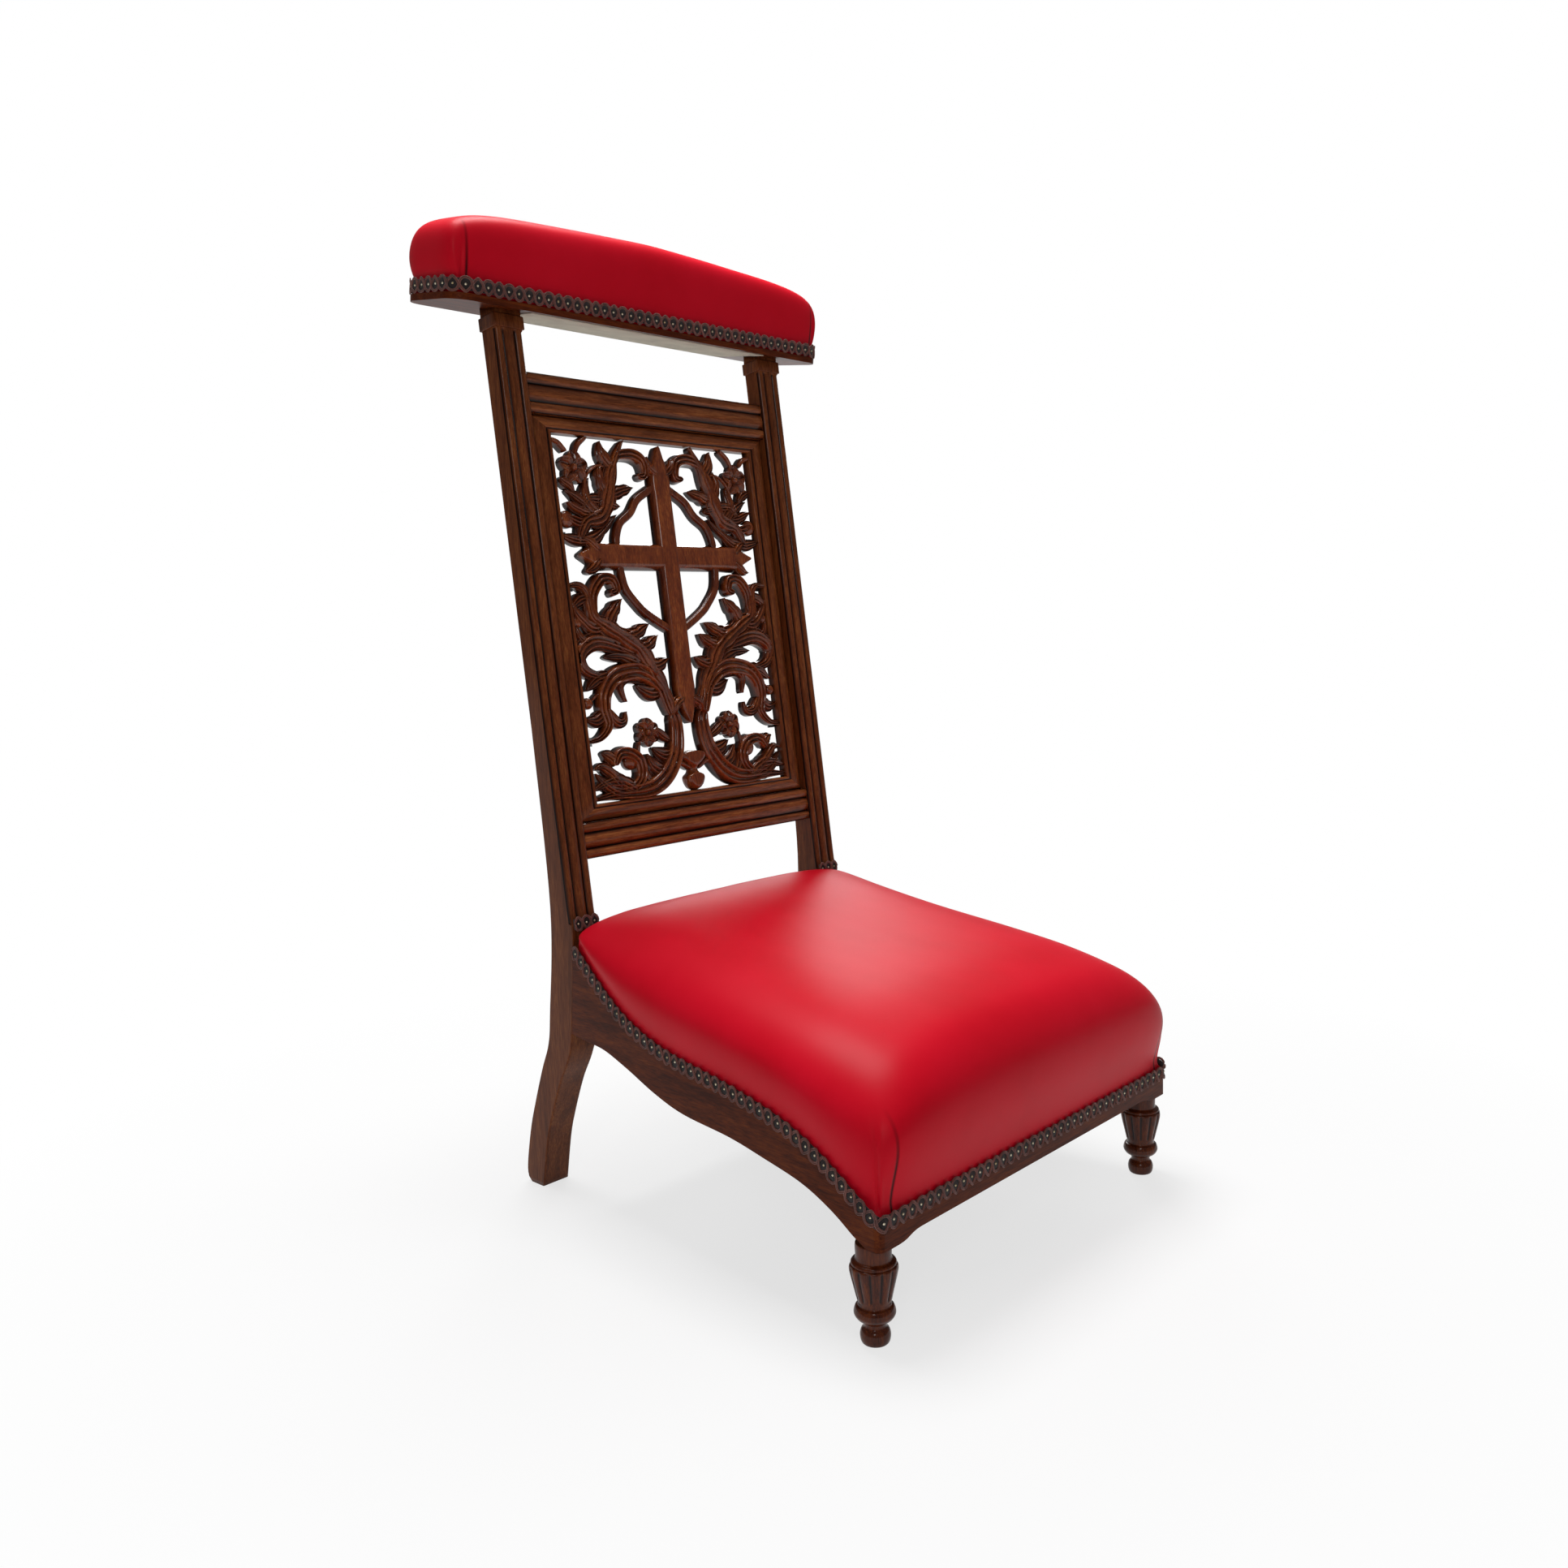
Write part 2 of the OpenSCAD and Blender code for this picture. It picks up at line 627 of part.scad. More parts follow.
module rail_dowels() {
    color(wood) for (left = [false, true]) mirror_x(left) corner_dowel(0);
}

// Turned front legs: radii as shares of the largest radius, heights as shares of the leg
leg_inset_x = 16.2;
leg_inset_y = 20;
leg_x = front_x - leg_inset_x;
leg_y = front_y + leg_inset_y;
foot_shares = [[0.44, 0], [0.6, 0.02], [0.63, 0.083], [0.58, 0.13], [0.47, 0.165], [0.48, 0.2]];
collar_shares = [[0.72, 0.24], [0.84, 0.29], [0.85, 0.33], [0.78, 0.375], [0.68, 0.39], [0.68, 0.41]];
vase_shares = [[0.74, 0.46], [0.84, 0.56], [0.94, 0.66], [1, 0.74], [0.99, 0.775], [0.93, 0.795]];
neck_shares = [[0.93, 0.805], [0.86, 0.82], [0.73, 0.835], [0.73, 1]];
module leg_dowel(gap) {
    translate([leg_x, leg_y, leg_h - leg_dowel_l])
        cylinder(h = 2 * leg_dowel_l + gap, r = leg_dowel_r + gap, $fn = 32);
}

reed_gap_share = 0.07;
reed_low_share = 0.445;
reed_long_share = 0.28;
reed_lean = 14.5;
module front_leg() {
    profile = [for (s = concat(foot_shares, collar_shares, vase_shares, neck_shares))
        [s[0] * leg_r, s[1] * leg_h]];
    difference() {
        translate([leg_x, leg_y, 0]) rotate_extrude($fn = 96)
            polygon(concat([[0, 0]], profile, [[0, leg_h]]));
        for (k = [0 : leg_reeds - 1])
            translate([leg_x, leg_y, 0]) rotate(360 * (k + 0.5) / leg_reeds)
                translate([leg_r * vase_shares[0][0], 0, leg_h * reed_low_share]) rotate([0, reed_lean, 0])
                    cylinder(h = leg_h * reed_long_share, r = leg_r * reed_gap_share, $fn = 16);
    }
    leg_dowel(0);
}

module front_leg_left() {
    color(wood) mirror_x(true) front_leg();
}

module front_leg_right() {
    color(wood) front_leg();
}

// Corner blocks with a screw into each rail
block_size = 42;
block_gap_z = 1;
block_low = front_low_z + block_gap_z;
block_tall = 14;
screw_r = 1.8;
screw_l = 26;
screw_head = 3.6;
screw_into = 12;
block_z = block_low + block_tall / 2;
module screw(r, l, head) {
    cylinder(h = l, r = r, $fn = 24);
    translate([0, 0, l - head / 2]) cylinder(h = head / 2, r = head, $fn = 32);
}

module block_screw_front(gap) {
    translate([inner_x - block_size / 2, inner_y - screw_into - gap, block_z]) rotate([-90, 0, 0])
        screw(screw_r + gap, screw_l + gap, screw_head + gap);
}

module block_screw_side(gap) {
    translate([inner_x + screw_into + gap, inner_y + block_size / 2, block_z]) rotate([0, -90, 0])
        screw(screw_r + gap, screw_l + gap, screw_head + gap);
}

module corner_blocks() {
    color(dark_wood) for (left = [false, true]) mirror_x(left) difference() {
        translate([0, 0, block_low]) linear_extrude(block_tall)
            polygon([[inner_x, inner_y], [inner_x - block_size, inner_y],
                [frame_x(inner_y + block_size) - rail_t, inner_y + block_size]]);
        block_screw_front(fit_gap);
        block_screw_side(fit_gap);
    }
}

module corner_block_screws() {
    color(steel) for (left = [false, true]) mirror_x(left) {
        block_screw_front(0);
        block_screw_side(0);
    }
}

// Layers inside the seat, in a plane that rises towards the back
base_front_z = 108;
base_back_z = 183;
base_slope = atan((base_back_z - base_front_z) / seat_d);
layer_gap = 1;
web_z = 5;
web_t = 2;
web_w = 48;
web_count = 4;
hessian_z = 75;
hessian_t = 1.2;
dust_z = 0;
dust_t = 0.8;
function base_z(y) = mix(base_front_z, base_back_z, (y - front_y) / seat_d);
function layer_y(y, z) = (y - front_y + z * sin(base_slope)) / cos(base_slope);

module in_seat() {
    translate([0, front_y, base_front_z]) rotate([base_slope, 0, 0]) children();
}

// Flat layer at height z over the base plane that fills the inside of the rails
module layer_plan(z) {
    y0 = inner_y + layer_gap;
    y1 = seat_back_y - layer_gap;
    x0 = frame_x(y0) - rail_t - layer_gap;
    x1 = frame_x(y1) - rail_t - layer_gap;
    polygon([[-x0, layer_y(y0, z)], [x0, layer_y(y0, z)], [x1, layer_y(y1, z)], [-x1, layer_y(y1, z)]]);
}

web_span = (seat_back_y - inner_y) / cos(base_slope);
module seat_webbing() {
    color(jute) in_seat() translate([0, 0, web_z]) linear_extrude(web_t) intersection() {
        layer_plan(web_z);
        for (k = [0 : web_count - 1]) {
            translate([(k + 0.5 - web_count / 2) * 2 * post_in_x / web_count - web_w / 2, 0])
                square([web_w, 2 * web_span]);
            translate([-front_x, layer_y(inner_y, web_z) + (k + 0.5) * web_span / web_count - web_w / 2])
                square([2 * front_x, web_w]);
        }
    }
}

spring_r = 27;
spring_wire = 1.6;
spring_turns = 3;
spring_n = 8;
spring_across = 3;
spring_waist_share = 0.75;
tube_n = 6;
// Hourglass coil between the webbing and the hessian
module spring() {
    low = web_z + web_t + spring_wire + soft_gap;
    tall = hessian_z - spring_wire - soft_gap - low;
    rings = spring_turns * spring_n;
    points = [for (i = [0 : rings]) let (t = i / rings, a = 360 * i / spring_n,
        r = spring_r * mix(spring_waist_share, 1, pow(2 * t - 1, 2)))
        for (k = [0 : tube_n - 1]) let (b = 360 * k / tube_n, q = r + spring_wire * cos(b))
            [q * cos(a), q * sin(a), low + tall * t + spring_wire * sin(b)]];
    polyhedron(points, concat(
        [for (i = [0 : rings - 1], k = [0 : tube_n - 1])
            let (a = i * tube_n + k, b = i * tube_n + (k + 1) % tube_n)
            each [[a, b, b + tube_n], [a, b + tube_n, a + tube_n]]],
        [for (k = [1 : tube_n - 2]) each [[0, k + 1, k],
            [rings * tube_n, rings * tube_n + k, rings * tube_n + k + 1]]]));
}

module seat_springs() {
    color(steel) in_seat() for (i = [0 : spring_across - 1], j = [0 : spring_across - 1])
        translate([(i - (spring_across - 1) / 2) * 2 * post_in_x / spring_across,
            layer_y(inner_y, hessian_z) + (j + 0.5) * web_span / spring_across, 0]) spring();
}

module seat_hessian() {
    color(jute) in_seat() translate([0, 0, hessian_z]) linear_extrude(hessian_t) layer_plan(hessian_z);
}

module seat_dust_cloth() {
    color(dark_wood) in_seat() translate([0, 0, dust_z]) linear_extrude(dust_t) layer_plan(dust_z);
}

// Point of a rounded unit outline at angle a: across and up, both from 0 to 1
function rim_unit(a, n) = let (c = cos(a), s = sin(a), r = pow(pow(abs(c), n) + pow(abs(s), n), 1 / n))
    [-c / r, s / r];

function grid_faces(n, m, o, up) = [for (i = [0 : n - 1], j = [0 : m - 1])
    let (a = o + i * (m + 1) + j, b = a + 1, d = a + m + 1, c = d + 1)
        each (up ? [[a, b, c], [a, c, d]] : [[a, c, b], [a, d, c]])];
function grid_loop(n, m) = concat([for (i = [0 : n - 1]) i * (m + 1)],
    [for (j = [0 : m - 1]) n * (m + 1) + j],
    [for (i = [n : -1 : 1]) i * (m + 1) + m], [for (j = [m : -1 : 1]) j]);

// Solid between two grids of points, closed round their edges
module between(top, bottom, n, m) {
    k = (n + 1) * (m + 1);
    loop = grid_loop(n, m);
    polyhedron(concat(top, bottom), concat(grid_faces(n, m, 0, true), grid_faces(n, m, k, false),
        [for (i = [0 : len(loop) - 1]) let (a = loop[i], b = loop[(i + 1) % len(loop)])
            each [[a, b, b + k], [a, b + k, a + k]]]));
}

// Seat cover: a crowned cushion drawn in at its edge, t inside the outer surface
cover_n = 18;
cover_m = 30;
rim_gap = 0.9;
cover_power_x = 4;
cover_power_y = 7;
corner_pull = 2.2;
pull_power = 12;
seat_mid_y = (front_y + rim_gap + seat_back_y) / 2;
seat_half_d = (seat_back_y - front_y - rim_gap) / 2;
side_bulge = 7;
front_bulge = 14;
// Share of the bulge at the share c of a rise h: none behind the braid, all of it halfway up
function bulge(c, h) = let (low = (braid_h / 2 + braid_t / 2) / h)
    c <= low ? 0 : pow(sin(180 * min(1, (c - low) / (1 - low))), 2);
function seat_surface(i, j, t) = let (
    u = rim_unit(180 * i / cover_n, cover_power_x), v = rim_unit(180 * j / cover_m, cover_power_y),
    y = seat_mid_y + (seat_half_d - t) * v[0], w = frame_x(y) - rim_gap - t, h = crown_at(y) - t - braid_z(y),
    pull = (corner_pull + t / 4) * pow(abs(u[0] * v[0]), pull_power),
    out = bulge(u[1] * v[1], h))
    [u[0] * w + sign(u[0]) * (side_bulge * out * pow(u[0], pull_power) - pull),
        y - sign(v[0]) * pull - (v[0] < 0 ? front_bulge * out * pow(v[0], pull_power) : 0),
        braid_z(y) + rim_gap + h * u[1] * v[1]];

module seat_cover() {
    color(leather) between([for (i = [0 : cover_n], j = [0 : cover_m]) seat_surface(i, j, 0)],
        [for (i = [0 : cover_n], j = [0 : cover_m]) seat_surface(i, j, leather_t)], cover_n, cover_m);
}

// Stuffing under the cover
stuff_n = 12;
stuff_gap = 3;
function stuff_top(x, y) = let (
    u = min(1, abs(x) / (frame_x(y) - leather_t)),
    v = min(1, abs(y - seat_mid_y) / (seat_half_d - leather_t)))
    braid_z(y) + (crown_at(y) - leather_t - braid_z(y))
        * pow(1 - pow(u, cover_power_x), 1 / cover_power_x)
        * pow(1 - pow(v, cover_power_y), 1 / cover_power_y) - stuff_gap;
stuff_y0 = inner_y + layer_gap;
stuff_y1 = seat_back_y - leather_t - 2 * layer_gap;
stuff_low = (hessian_z + hessian_t) / cos(base_slope) + soft_gap;
module seat_stuffing() {
    plan = [for (i = [0 : stuff_n], j = [0 : stuff_n]) let (y = mix(stuff_y0, stuff_y1, j / stuff_n))
        [(2 * i / stuff_n - 1) * (frame_x(y) - rail_t - layer_gap), y]];
    color(hair) between(
        [for (p = plan) [p[0], p[1], max(stuff_top(p[0], p[1]), base_z(p[1]) + stuff_low + layer_gap)]],
        [for (p = plan) [p[0], p[1], base_z(p[1]) + stuff_low]], stuff_n, stuff_n);
}

// Scroll braid along the seat's lower edge
braid_gap = 0.1;
module side_braid() {
    band_line = concat(shifted(braid_line, -braid_h / 2), turn_back(shifted(braid_line, braid_h / 2)));
    y1 = front_y + corner_r;
    y0 = rake_y(braid_back_z) - braid_gap;
    intersection() {
        side_prism(band_line, 0, 2 * front_x);
        linear_extrude(arm_z) polygon([[frame_x(y0) + braid_gap, y0], [frame_x(y0) + braid_gap + braid_t, y0],
            [frame_x(y1) + braid_gap + braid_t, y1], [frame_x(y1) + braid_gap, y1]]);
    }
}

module seat_braid_left() {
    color(braid_brown) mirror_x(true) side_braid();
}

module seat_braid_right() {
    color(braid_brown) side_braid();
}

module seat_braid_front() {
    outer = corner_arc(corner_r + braid_gap + braid_t, 2, 90);
    inside = corner_arc(corner_r + braid_gap, 2, 90);
    color(braid_brown) translate([0, 0, braid_front_z - braid_h / 2]) linear_extrude(braid_h)
        polygon(concat(outer, [for (p = turn_back(outer)) [-p[0], p[1]]],
            [for (p = inside) [-p[0], p[1]]], turn_back(inside)));
}

module seat_braid_posts() {
    color(braid_brown) for (left = [false, true]) mirror_x(left)
        in_back() translate([post_in_x, -braid_t - post_braid_gap, (braid_back_z + soft_gap) / cos(rake)])
            cube([post_w - braid_t, braid_t, braid_h]);
}

// Domed pins of the braid, spaced along its middle line
brad_r = 1.5;
brad_t = 0.8;
function run(p, i) = i == 0 ? 0 : run(p, i - 1) + norm(p[i] - p[i - 1]);
braid_runs = [for (i = [0 : len(braid_line) - 1]) [run(braid_line, i), braid_line[i][0]]];
braid_length = braid_runs[len(braid_runs) - 1][0];
module brad() {
    rotate([0, 90, 0]) cylinder(h = brad_t, r = brad_r, $fn = 16);
}

module seat_braid_pins() {
    side_count = floor(braid_length / pin_pitch) - 1;
    front_count = floor(seat_front_w / pin_pitch) - 1;
    color(pin_metal) {
        for (left = [false, true], k = [1 : side_count]) mirror_x(left)
            let (y = lookup(k * pin_pitch, braid_runs))
                translate([frame_x(y) + braid_gap + braid_t, y, braid_z(y)])
                    rotate(atan((front_x - back_x) / seat_d)) brad();
        for (k = [0 : front_count - 1])
            translate([(k + 0.5 - front_count / 2) * pin_pitch, front_y - braid_gap - braid_t, braid_front_z])
                rotate(-90) brad();
    }
}

// Arm rest
arm_half_w = arm_w / 2;
board_r = 22;
board_lip_t = 6.3;
board_t = 14;
board_step = 14;
cover_inset = 3.4;
cloth_t = 0.8;
cloth_inset = 7;
arm_end_h = 81;
arm_end_power = 1.5;

// Rounded outline of the arm rest, drawn in by an inset
corner_n = 10;
module round_plan(inset) {
    r = board_r - inset;
    x = arm_half_w - board_r;
    polygon([for (k = [0 : 3], i = [0 : corner_n]) let (a = 90 * (k + i / corner_n))
        [(k == 0 || k == 3 ? x : -x) + r * cos(a), (k < 2 ? arm_d - board_r : board_r) + r * sin(a)]]);
}

module armrest_board() {
    color(wood) difference() {
        in_armrest() {
            linear_extrude(board_lip_t) round_plan(0);
            linear_extrude(board_t) round_plan(board_step);
        }
        for (left = [false, true]) mirror_x(left) armrest_screw(fit_gap);
    }
}

arm_screw_l = 39;
arm_screw_head = 5;
arm_screw_y = top_front_y - arm_front_y + post_top_d / 2;
module armrest_screw(gap) {
    in_armrest() translate([back_x - post_w / 2, arm_screw_y, board_t - arm_screw_l - gap])
        screw(screw_r + gap, arm_screw_l + gap, arm_screw_head + gap);
}

module armrest_screws() {
    color(steel) for (left = [false, true]) mirror_x(left) armrest_screw(0);
}

module armrest_bottom_cloth() {
    inner = post_in_x - 2 * block_lip;
    color(linen) in_armrest() translate([0, 0, -cloth_t]) linear_extrude(cloth_t - fit_gap)
        translate([-inner, cloth_inset]) square([2 * inner, arm_d - 2 * cloth_inset]);
}

arm_n = 26;
arm_m = 14;
arm_power_x = 9;
arm_power_y = 5;
arm_pull = 5.6;
arm_pull_y = 4;
arm_rim_z = board_lip_t + soft_gap;
function arm_surface(i, j, t) = let (
    u = rim_unit(180 * i / arm_n, arm_power_x), v = rim_unit(180 * j / arm_m, arm_power_y),
    pull = arm_pull * pow(abs(u[0]), pull_power) * pow(abs(v[0]), arm_pull_y))
    [u[0] * (arm_half_w - cover_inset - t) - sign(u[0]) * pull,
        arm_d / 2 + v[0] * (arm_d / 2 - cover_inset - t) - sign(v[0]) * pull,
        arm_rim_z + (mix(arm_crown, arm_end_h, pow(abs(u[0]), arm_end_power)) - t - arm_rim_z)
            * u[1] * v[1]];

module armrest_cover() {
    color(leather) in_armrest() between([for (i = [0 : arm_n], j = [0 : arm_m]) arm_surface(i, j, 0)],
        [for (i = [0 : arm_n], j = [0 : arm_m]) arm_surface(i, j, leather_t)], arm_n, arm_m);
}

arm_stuff_inset = 17;
module armrest_stuffing() {
    half_w = arm_half_w - arm_stuff_inset - cover_inset;
    half_d = arm_d / 2 - arm_stuff_inset;
    free_w = arm_half_w - cover_inset - leather_t;
    free_d = arm_d / 2 - cover_inset - leather_t;
    plan = [for (i = [0 : stuff_n], j = [0 : stuff_n]) [2 * i / stuff_n - 1, 2 * j / stuff_n - 1]];
    color(hair) in_armrest() between(
        [for (p = plan) let (u = abs(p[0]) * half_w / free_w, v = abs(p[1]) * half_d / free_d)
            [p[0] * half_w, arm_d / 2 + p[1] * half_d, arm_rim_z - stuff_gap
                + (mix(arm_crown, arm_end_h, pow(u, arm_end_power)) - leather_t - arm_rim_z)
                * pow(1 - pow(u, arm_power_x), 1 / arm_power_x)
                * pow(1 - pow(v, arm_power_y), 1 / arm_power_y)]],
        [for (p = plan) [p[0] * half_w, arm_d / 2 + p[1] * half_d, board_t + soft_gap]], stuff_n, stuff_n);
}

arm_braid_out = cover_inset - braid_gap - braid_t;
module armrest_braid() {
    color(braid_brown) in_armrest() translate([0, 0, board_lip_t]) linear_extrude(braid_h) difference() {
        round_plan(arm_braid_out);
        round_plan(arm_braid_out + braid_t);
    }
}

module armrest_braid_pins() {
    long = arm_w - 2 * board_r;
    short = arm_d - 2 * board_r;
    color(pin_metal) in_armrest() translate([0, arm_d / 2, board_lip_t + braid_h / 2]) {
        for (side = [-1, 1], k = [0 : floor(long / pin_pitch) - 1])
            translate([(k + 0.5 - floor(long / pin_pitch) / 2) * pin_pitch,
                side * (arm_d / 2 - arm_braid_out), 0])
                rotate(side * 90) brad();
        for (side = [0, 1], k = [0 : floor(short / pin_pitch) - 1]) rotate(180 * side)
            translate([arm_half_w - arm_braid_out,
                (k + 0.5 - floor(short / pin_pitch) / 2) * pin_pitch, 0]) brad();
    }
}

back_post_left();
back_post_right();
top_rail();
bottom_rail();
panel_moulding_top();
panel_moulding_bottom();
panel_moulding_left();
panel_moulding_right();
carved_panel();
panel_clips();
side_rail_left();
side_rail_right();
front_rail();
rear_rail();
front_leg_left();
front_leg_right();
corner_blocks();
corner_block_screws();
rail_dowels();
seat_webbing();
seat_springs();
seat_hessian();
seat_stuffing();
seat_cover();
seat_dust_cloth();
seat_braid_left();
seat_braid_right();
seat_braid_front();
seat_braid_posts();
seat_braid_pins();
armrest_board();
armrest_stuffing();
armrest_cover();
armrest_bottom_cloth();
armrest_braid();
armrest_braid_pins();
armrest_screws();
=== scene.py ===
import math
import bpy
import numpy as np
from mathutils import Matrix, Vector


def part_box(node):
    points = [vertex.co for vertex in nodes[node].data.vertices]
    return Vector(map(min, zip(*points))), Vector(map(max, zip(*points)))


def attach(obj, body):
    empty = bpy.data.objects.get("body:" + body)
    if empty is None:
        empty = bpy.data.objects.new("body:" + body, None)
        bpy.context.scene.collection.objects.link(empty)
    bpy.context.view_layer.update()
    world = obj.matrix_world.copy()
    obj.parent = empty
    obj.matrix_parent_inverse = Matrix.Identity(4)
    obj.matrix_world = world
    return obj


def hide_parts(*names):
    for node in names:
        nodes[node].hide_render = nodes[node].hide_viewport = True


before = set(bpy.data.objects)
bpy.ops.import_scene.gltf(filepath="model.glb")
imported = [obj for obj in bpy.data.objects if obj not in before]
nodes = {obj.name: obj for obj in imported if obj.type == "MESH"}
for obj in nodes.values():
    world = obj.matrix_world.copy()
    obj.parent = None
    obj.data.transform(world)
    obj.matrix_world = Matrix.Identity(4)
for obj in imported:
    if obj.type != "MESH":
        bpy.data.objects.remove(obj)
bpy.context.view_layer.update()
mm = 0.001
print("stage: frame loaded")


# ---- where things are, in the frame's own directions

dims = {
    "rake": 6.8, "armTilt": 8.3,  # degrees off upright and off level
    "backReach": 375.3 * mm,  # front of the seat frame to the plane of the posts' fronts, at the floor
    "armReach": 460 * mm, "armZ": 880 * mm, "armDepth": 92 * mm,
    "frontX": 231.5 * mm, "backX": 198 * mm, "postWidth": 32 * mm, "seatDepth": 416 * mm,
    "braidFrontZ": 108 * mm, "braidBackZ": 272 * mm, "crownZ": 304 * mm, "railThick": 22 * mm,
    "cornerRadius": 7 * mm,
}
rake, armTilt = math.radians(dims["rake"]), math.radians(dims["armTilt"])
frontY = float(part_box("front_rail")[0][1])
armHalf = float(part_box("armrest_board")[1][0])
armFrontY = frontY + dims["armReach"]
postFrontY = frontY + dims["seatDepth"]
rakeY = frontY + dims["backReach"]
postInX = dims["backX"] - dims["postWidth"]
flare = (dims["frontX"] - dims["backX"]) / dims["seatDepth"]


def xyz(x, y, z):  # points from three coordinates, spread to one shape
    return np.stack(np.broadcast_arrays(x, y, z), -1)


def inBack(x, v, z):  # plane of the back: v into it from the posts' fronts, z up the slope
    return xyz(x, rakeY + v * math.cos(rake) + z * math.sin(rake), z * math.cos(rake) - v * math.sin(rake))


def inArmrest(x, v, z):  # plane of the arm rest: v from its front edge to its back, z up from the underside
    return xyz(x, armFrontY + v * math.cos(armTilt) - z * math.sin(armTilt),
               dims["armZ"] + v * math.sin(armTilt) + z * math.cos(armTilt))


def rakeAt(z):  # the posts' fronts at a height
    return rakeY + z * math.tan(rake)


# ---- curves

def smoothLine(points, steps):  # Catmull-Rom curve through given points, its end points doubled
    p = np.asarray(points, float)
    ext = np.vstack([p[:1], p, p[-1:]])
    t = np.arange(steps)[None, :, None] / steps
    a, b, c, d = (ext[k:len(p) - 1 + k, None] for k in range(4))
    line = (2 * b + (c - a) * t + (2 * a - 5 * b + 4 * c - d) * t ** 2 + (3 * b - a - 3 * c + d) * t ** 3) / 2
    return np.vstack([line.reshape(-1, p.shape[1]), p[-1:]])


def runLength(points):  # distance along a line at each of its points
    return np.r_[0, np.cumsum(np.linalg.norm(np.diff(points, axis=0), axis=1))]


def atLength(run, field, s):  # what a field given at the distances run is at the distances s
    return np.stack([np.interp(s, run, column) for column in field.T], -1)


def unit(v):
    return v / np.maximum(np.linalg.norm(v, axis=-1, keepdims=True), 1e-12)


# ---- meshes

def linked(name, data):  # object at the origin
    thing = bpy.data.objects.new(name, data)
    bpy.context.scene.collection.objects.link(thing)
    return thing


def smoothed(mesh, material):
    mesh.polygons.foreach_set("use_smooth", np.ones(len(mesh.polygons), bool))
    mesh.materials.clear()
    mesh.materials.append(material)


def addMesh(name, points, faces, material):
    mesh = bpy.data.meshes.new(name)
    first, last = faces[:, 0] == faces[:, 1], faces[:, 2] == faces[:, 3]  # a cap's face is a triangle
    mesh.from_pydata(points.tolist(), [], faces[~(first | last)].tolist() + faces[last][:, :3].tolist()
                     + faces[first][:, 1:].tolist())
    smoothed(mesh, material)
    return linked(name, mesh)


def weighted(piece):  # shading follows the larger faces
    piece.modifiers.new("shade", "WEIGHTED_NORMAL").keep_sharp = True


def gridFaces(n, m, closed=False):  # quads of an n by m grid of points, m fastest
    i, j = np.meshgrid(np.arange(n - 1), np.arange(m if closed else m - 1), indexing="ij")
    k = (j + 1) % m
    return np.stack([i * m + j, (i + 1) * m + j, (i + 1) * m + k, i * m + k], -1).reshape(-1, 4)


def outward(points, faces):  # turn the faces round where the volume that they enclose comes out negative
    p = points - points.mean(0)
    a, b, c, d = (p[faces[:, k]] for k in range(4))
    volume = (a * np.cross(b, c)).sum() + (a * np.cross(c, d)).sum()
    return faces if volume > 0 else faces[:, ::-1]


class Gather:  # many closed patches that become one piece, with a painted shading value at each point
    def __init__(self):
        self.points, self.faces, self.values, self.count = [], [], [], 0

    def add(self, points, faces, values):
        self.faces.append(outward(points, faces) + self.count)
        self.points.append(points)
        self.values.append(values)
        self.count += len(points)
        return self

    def tube(self, points, value=0):  # rings of points, closed by a point in the middle of each end
        n, m = points.shape[:2]
        k, tip = np.arange(m), np.full(m, n * m)
        after, last = (k + 1) % m, (n - 1) * m
        values = np.broadcast_to(value, (n, m)).ravel()
        return self.add(np.vstack([points.reshape(-1, 3), points[0].mean(0), points[-1].mean(0)]),
                        np.vstack([gridFaces(n, m, True), np.stack([k, after, tip, tip], -1),
                                   np.stack([last + after, last + k, tip + 1, tip + 1], -1)]),
                        np.r_[values, values[0], values[-1]])

    def shell(self, top, under):  # two grids of one size, joined round their edges
        n, m = top.shape[:2]
        k = n * m
        loop = np.r_[np.arange(n - 1) * m, (n - 1) * m + np.arange(m - 1),
                     np.arange(n - 1, 0, -1) * m + m - 1, np.arange(m - 1, 0, -1)]
        after = np.roll(loop, -1)
        return self.add(np.vstack([top.reshape(-1, 3), under.reshape(-1, 3)]),
                        np.vstack([gridFaces(n, m)[:, ::-1], gridFaces(n, m) + k,
                                   np.stack([loop, after, after + k, loop + k], -1)]), np.zeros(2 * k))

    def build(self, name, material, slotName, *replaced):  # the piece, in place of the frame nodes that it replaces
        piece = addMesh(name, np.vstack(self.points), np.vstack(self.faces), material)
        # each point's value is kept for the wood's painted shade and painted highlight
        paintedShading = piece.data.attributes.new("paintedShading", "FLOAT", "POINT")
        paintedShading.data.foreach_set("value", np.concatenate(self.values).astype(np.float32))
        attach(piece, "root")
        if replaced:
            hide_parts(*replaced)
        return piece


# ---- materials

def rgb(text):  # sRGB hex to the linear colour that a shader socket takes
    c = np.array([int(text[i:i + 2], 16) for i in (1, 3, 5)]) / 255
    return (*np.where(c > 0.04045, ((c + 0.055) / 1.055) ** 2.4, c / 12.92), 1.0)


def plug(tree, node, sockets):  # sockets take a plain value, an output, or a node's first live output
    for key, value in sockets.items():
        if isinstance(value, bpy.types.Node):
            value = next(output for output in value.outputs if output.enabled)
        if isinstance(value, bpy.types.NodeSocket):
            tree.links.new(value, node.inputs[key])
        else:
            node.inputs[key].default_value = value


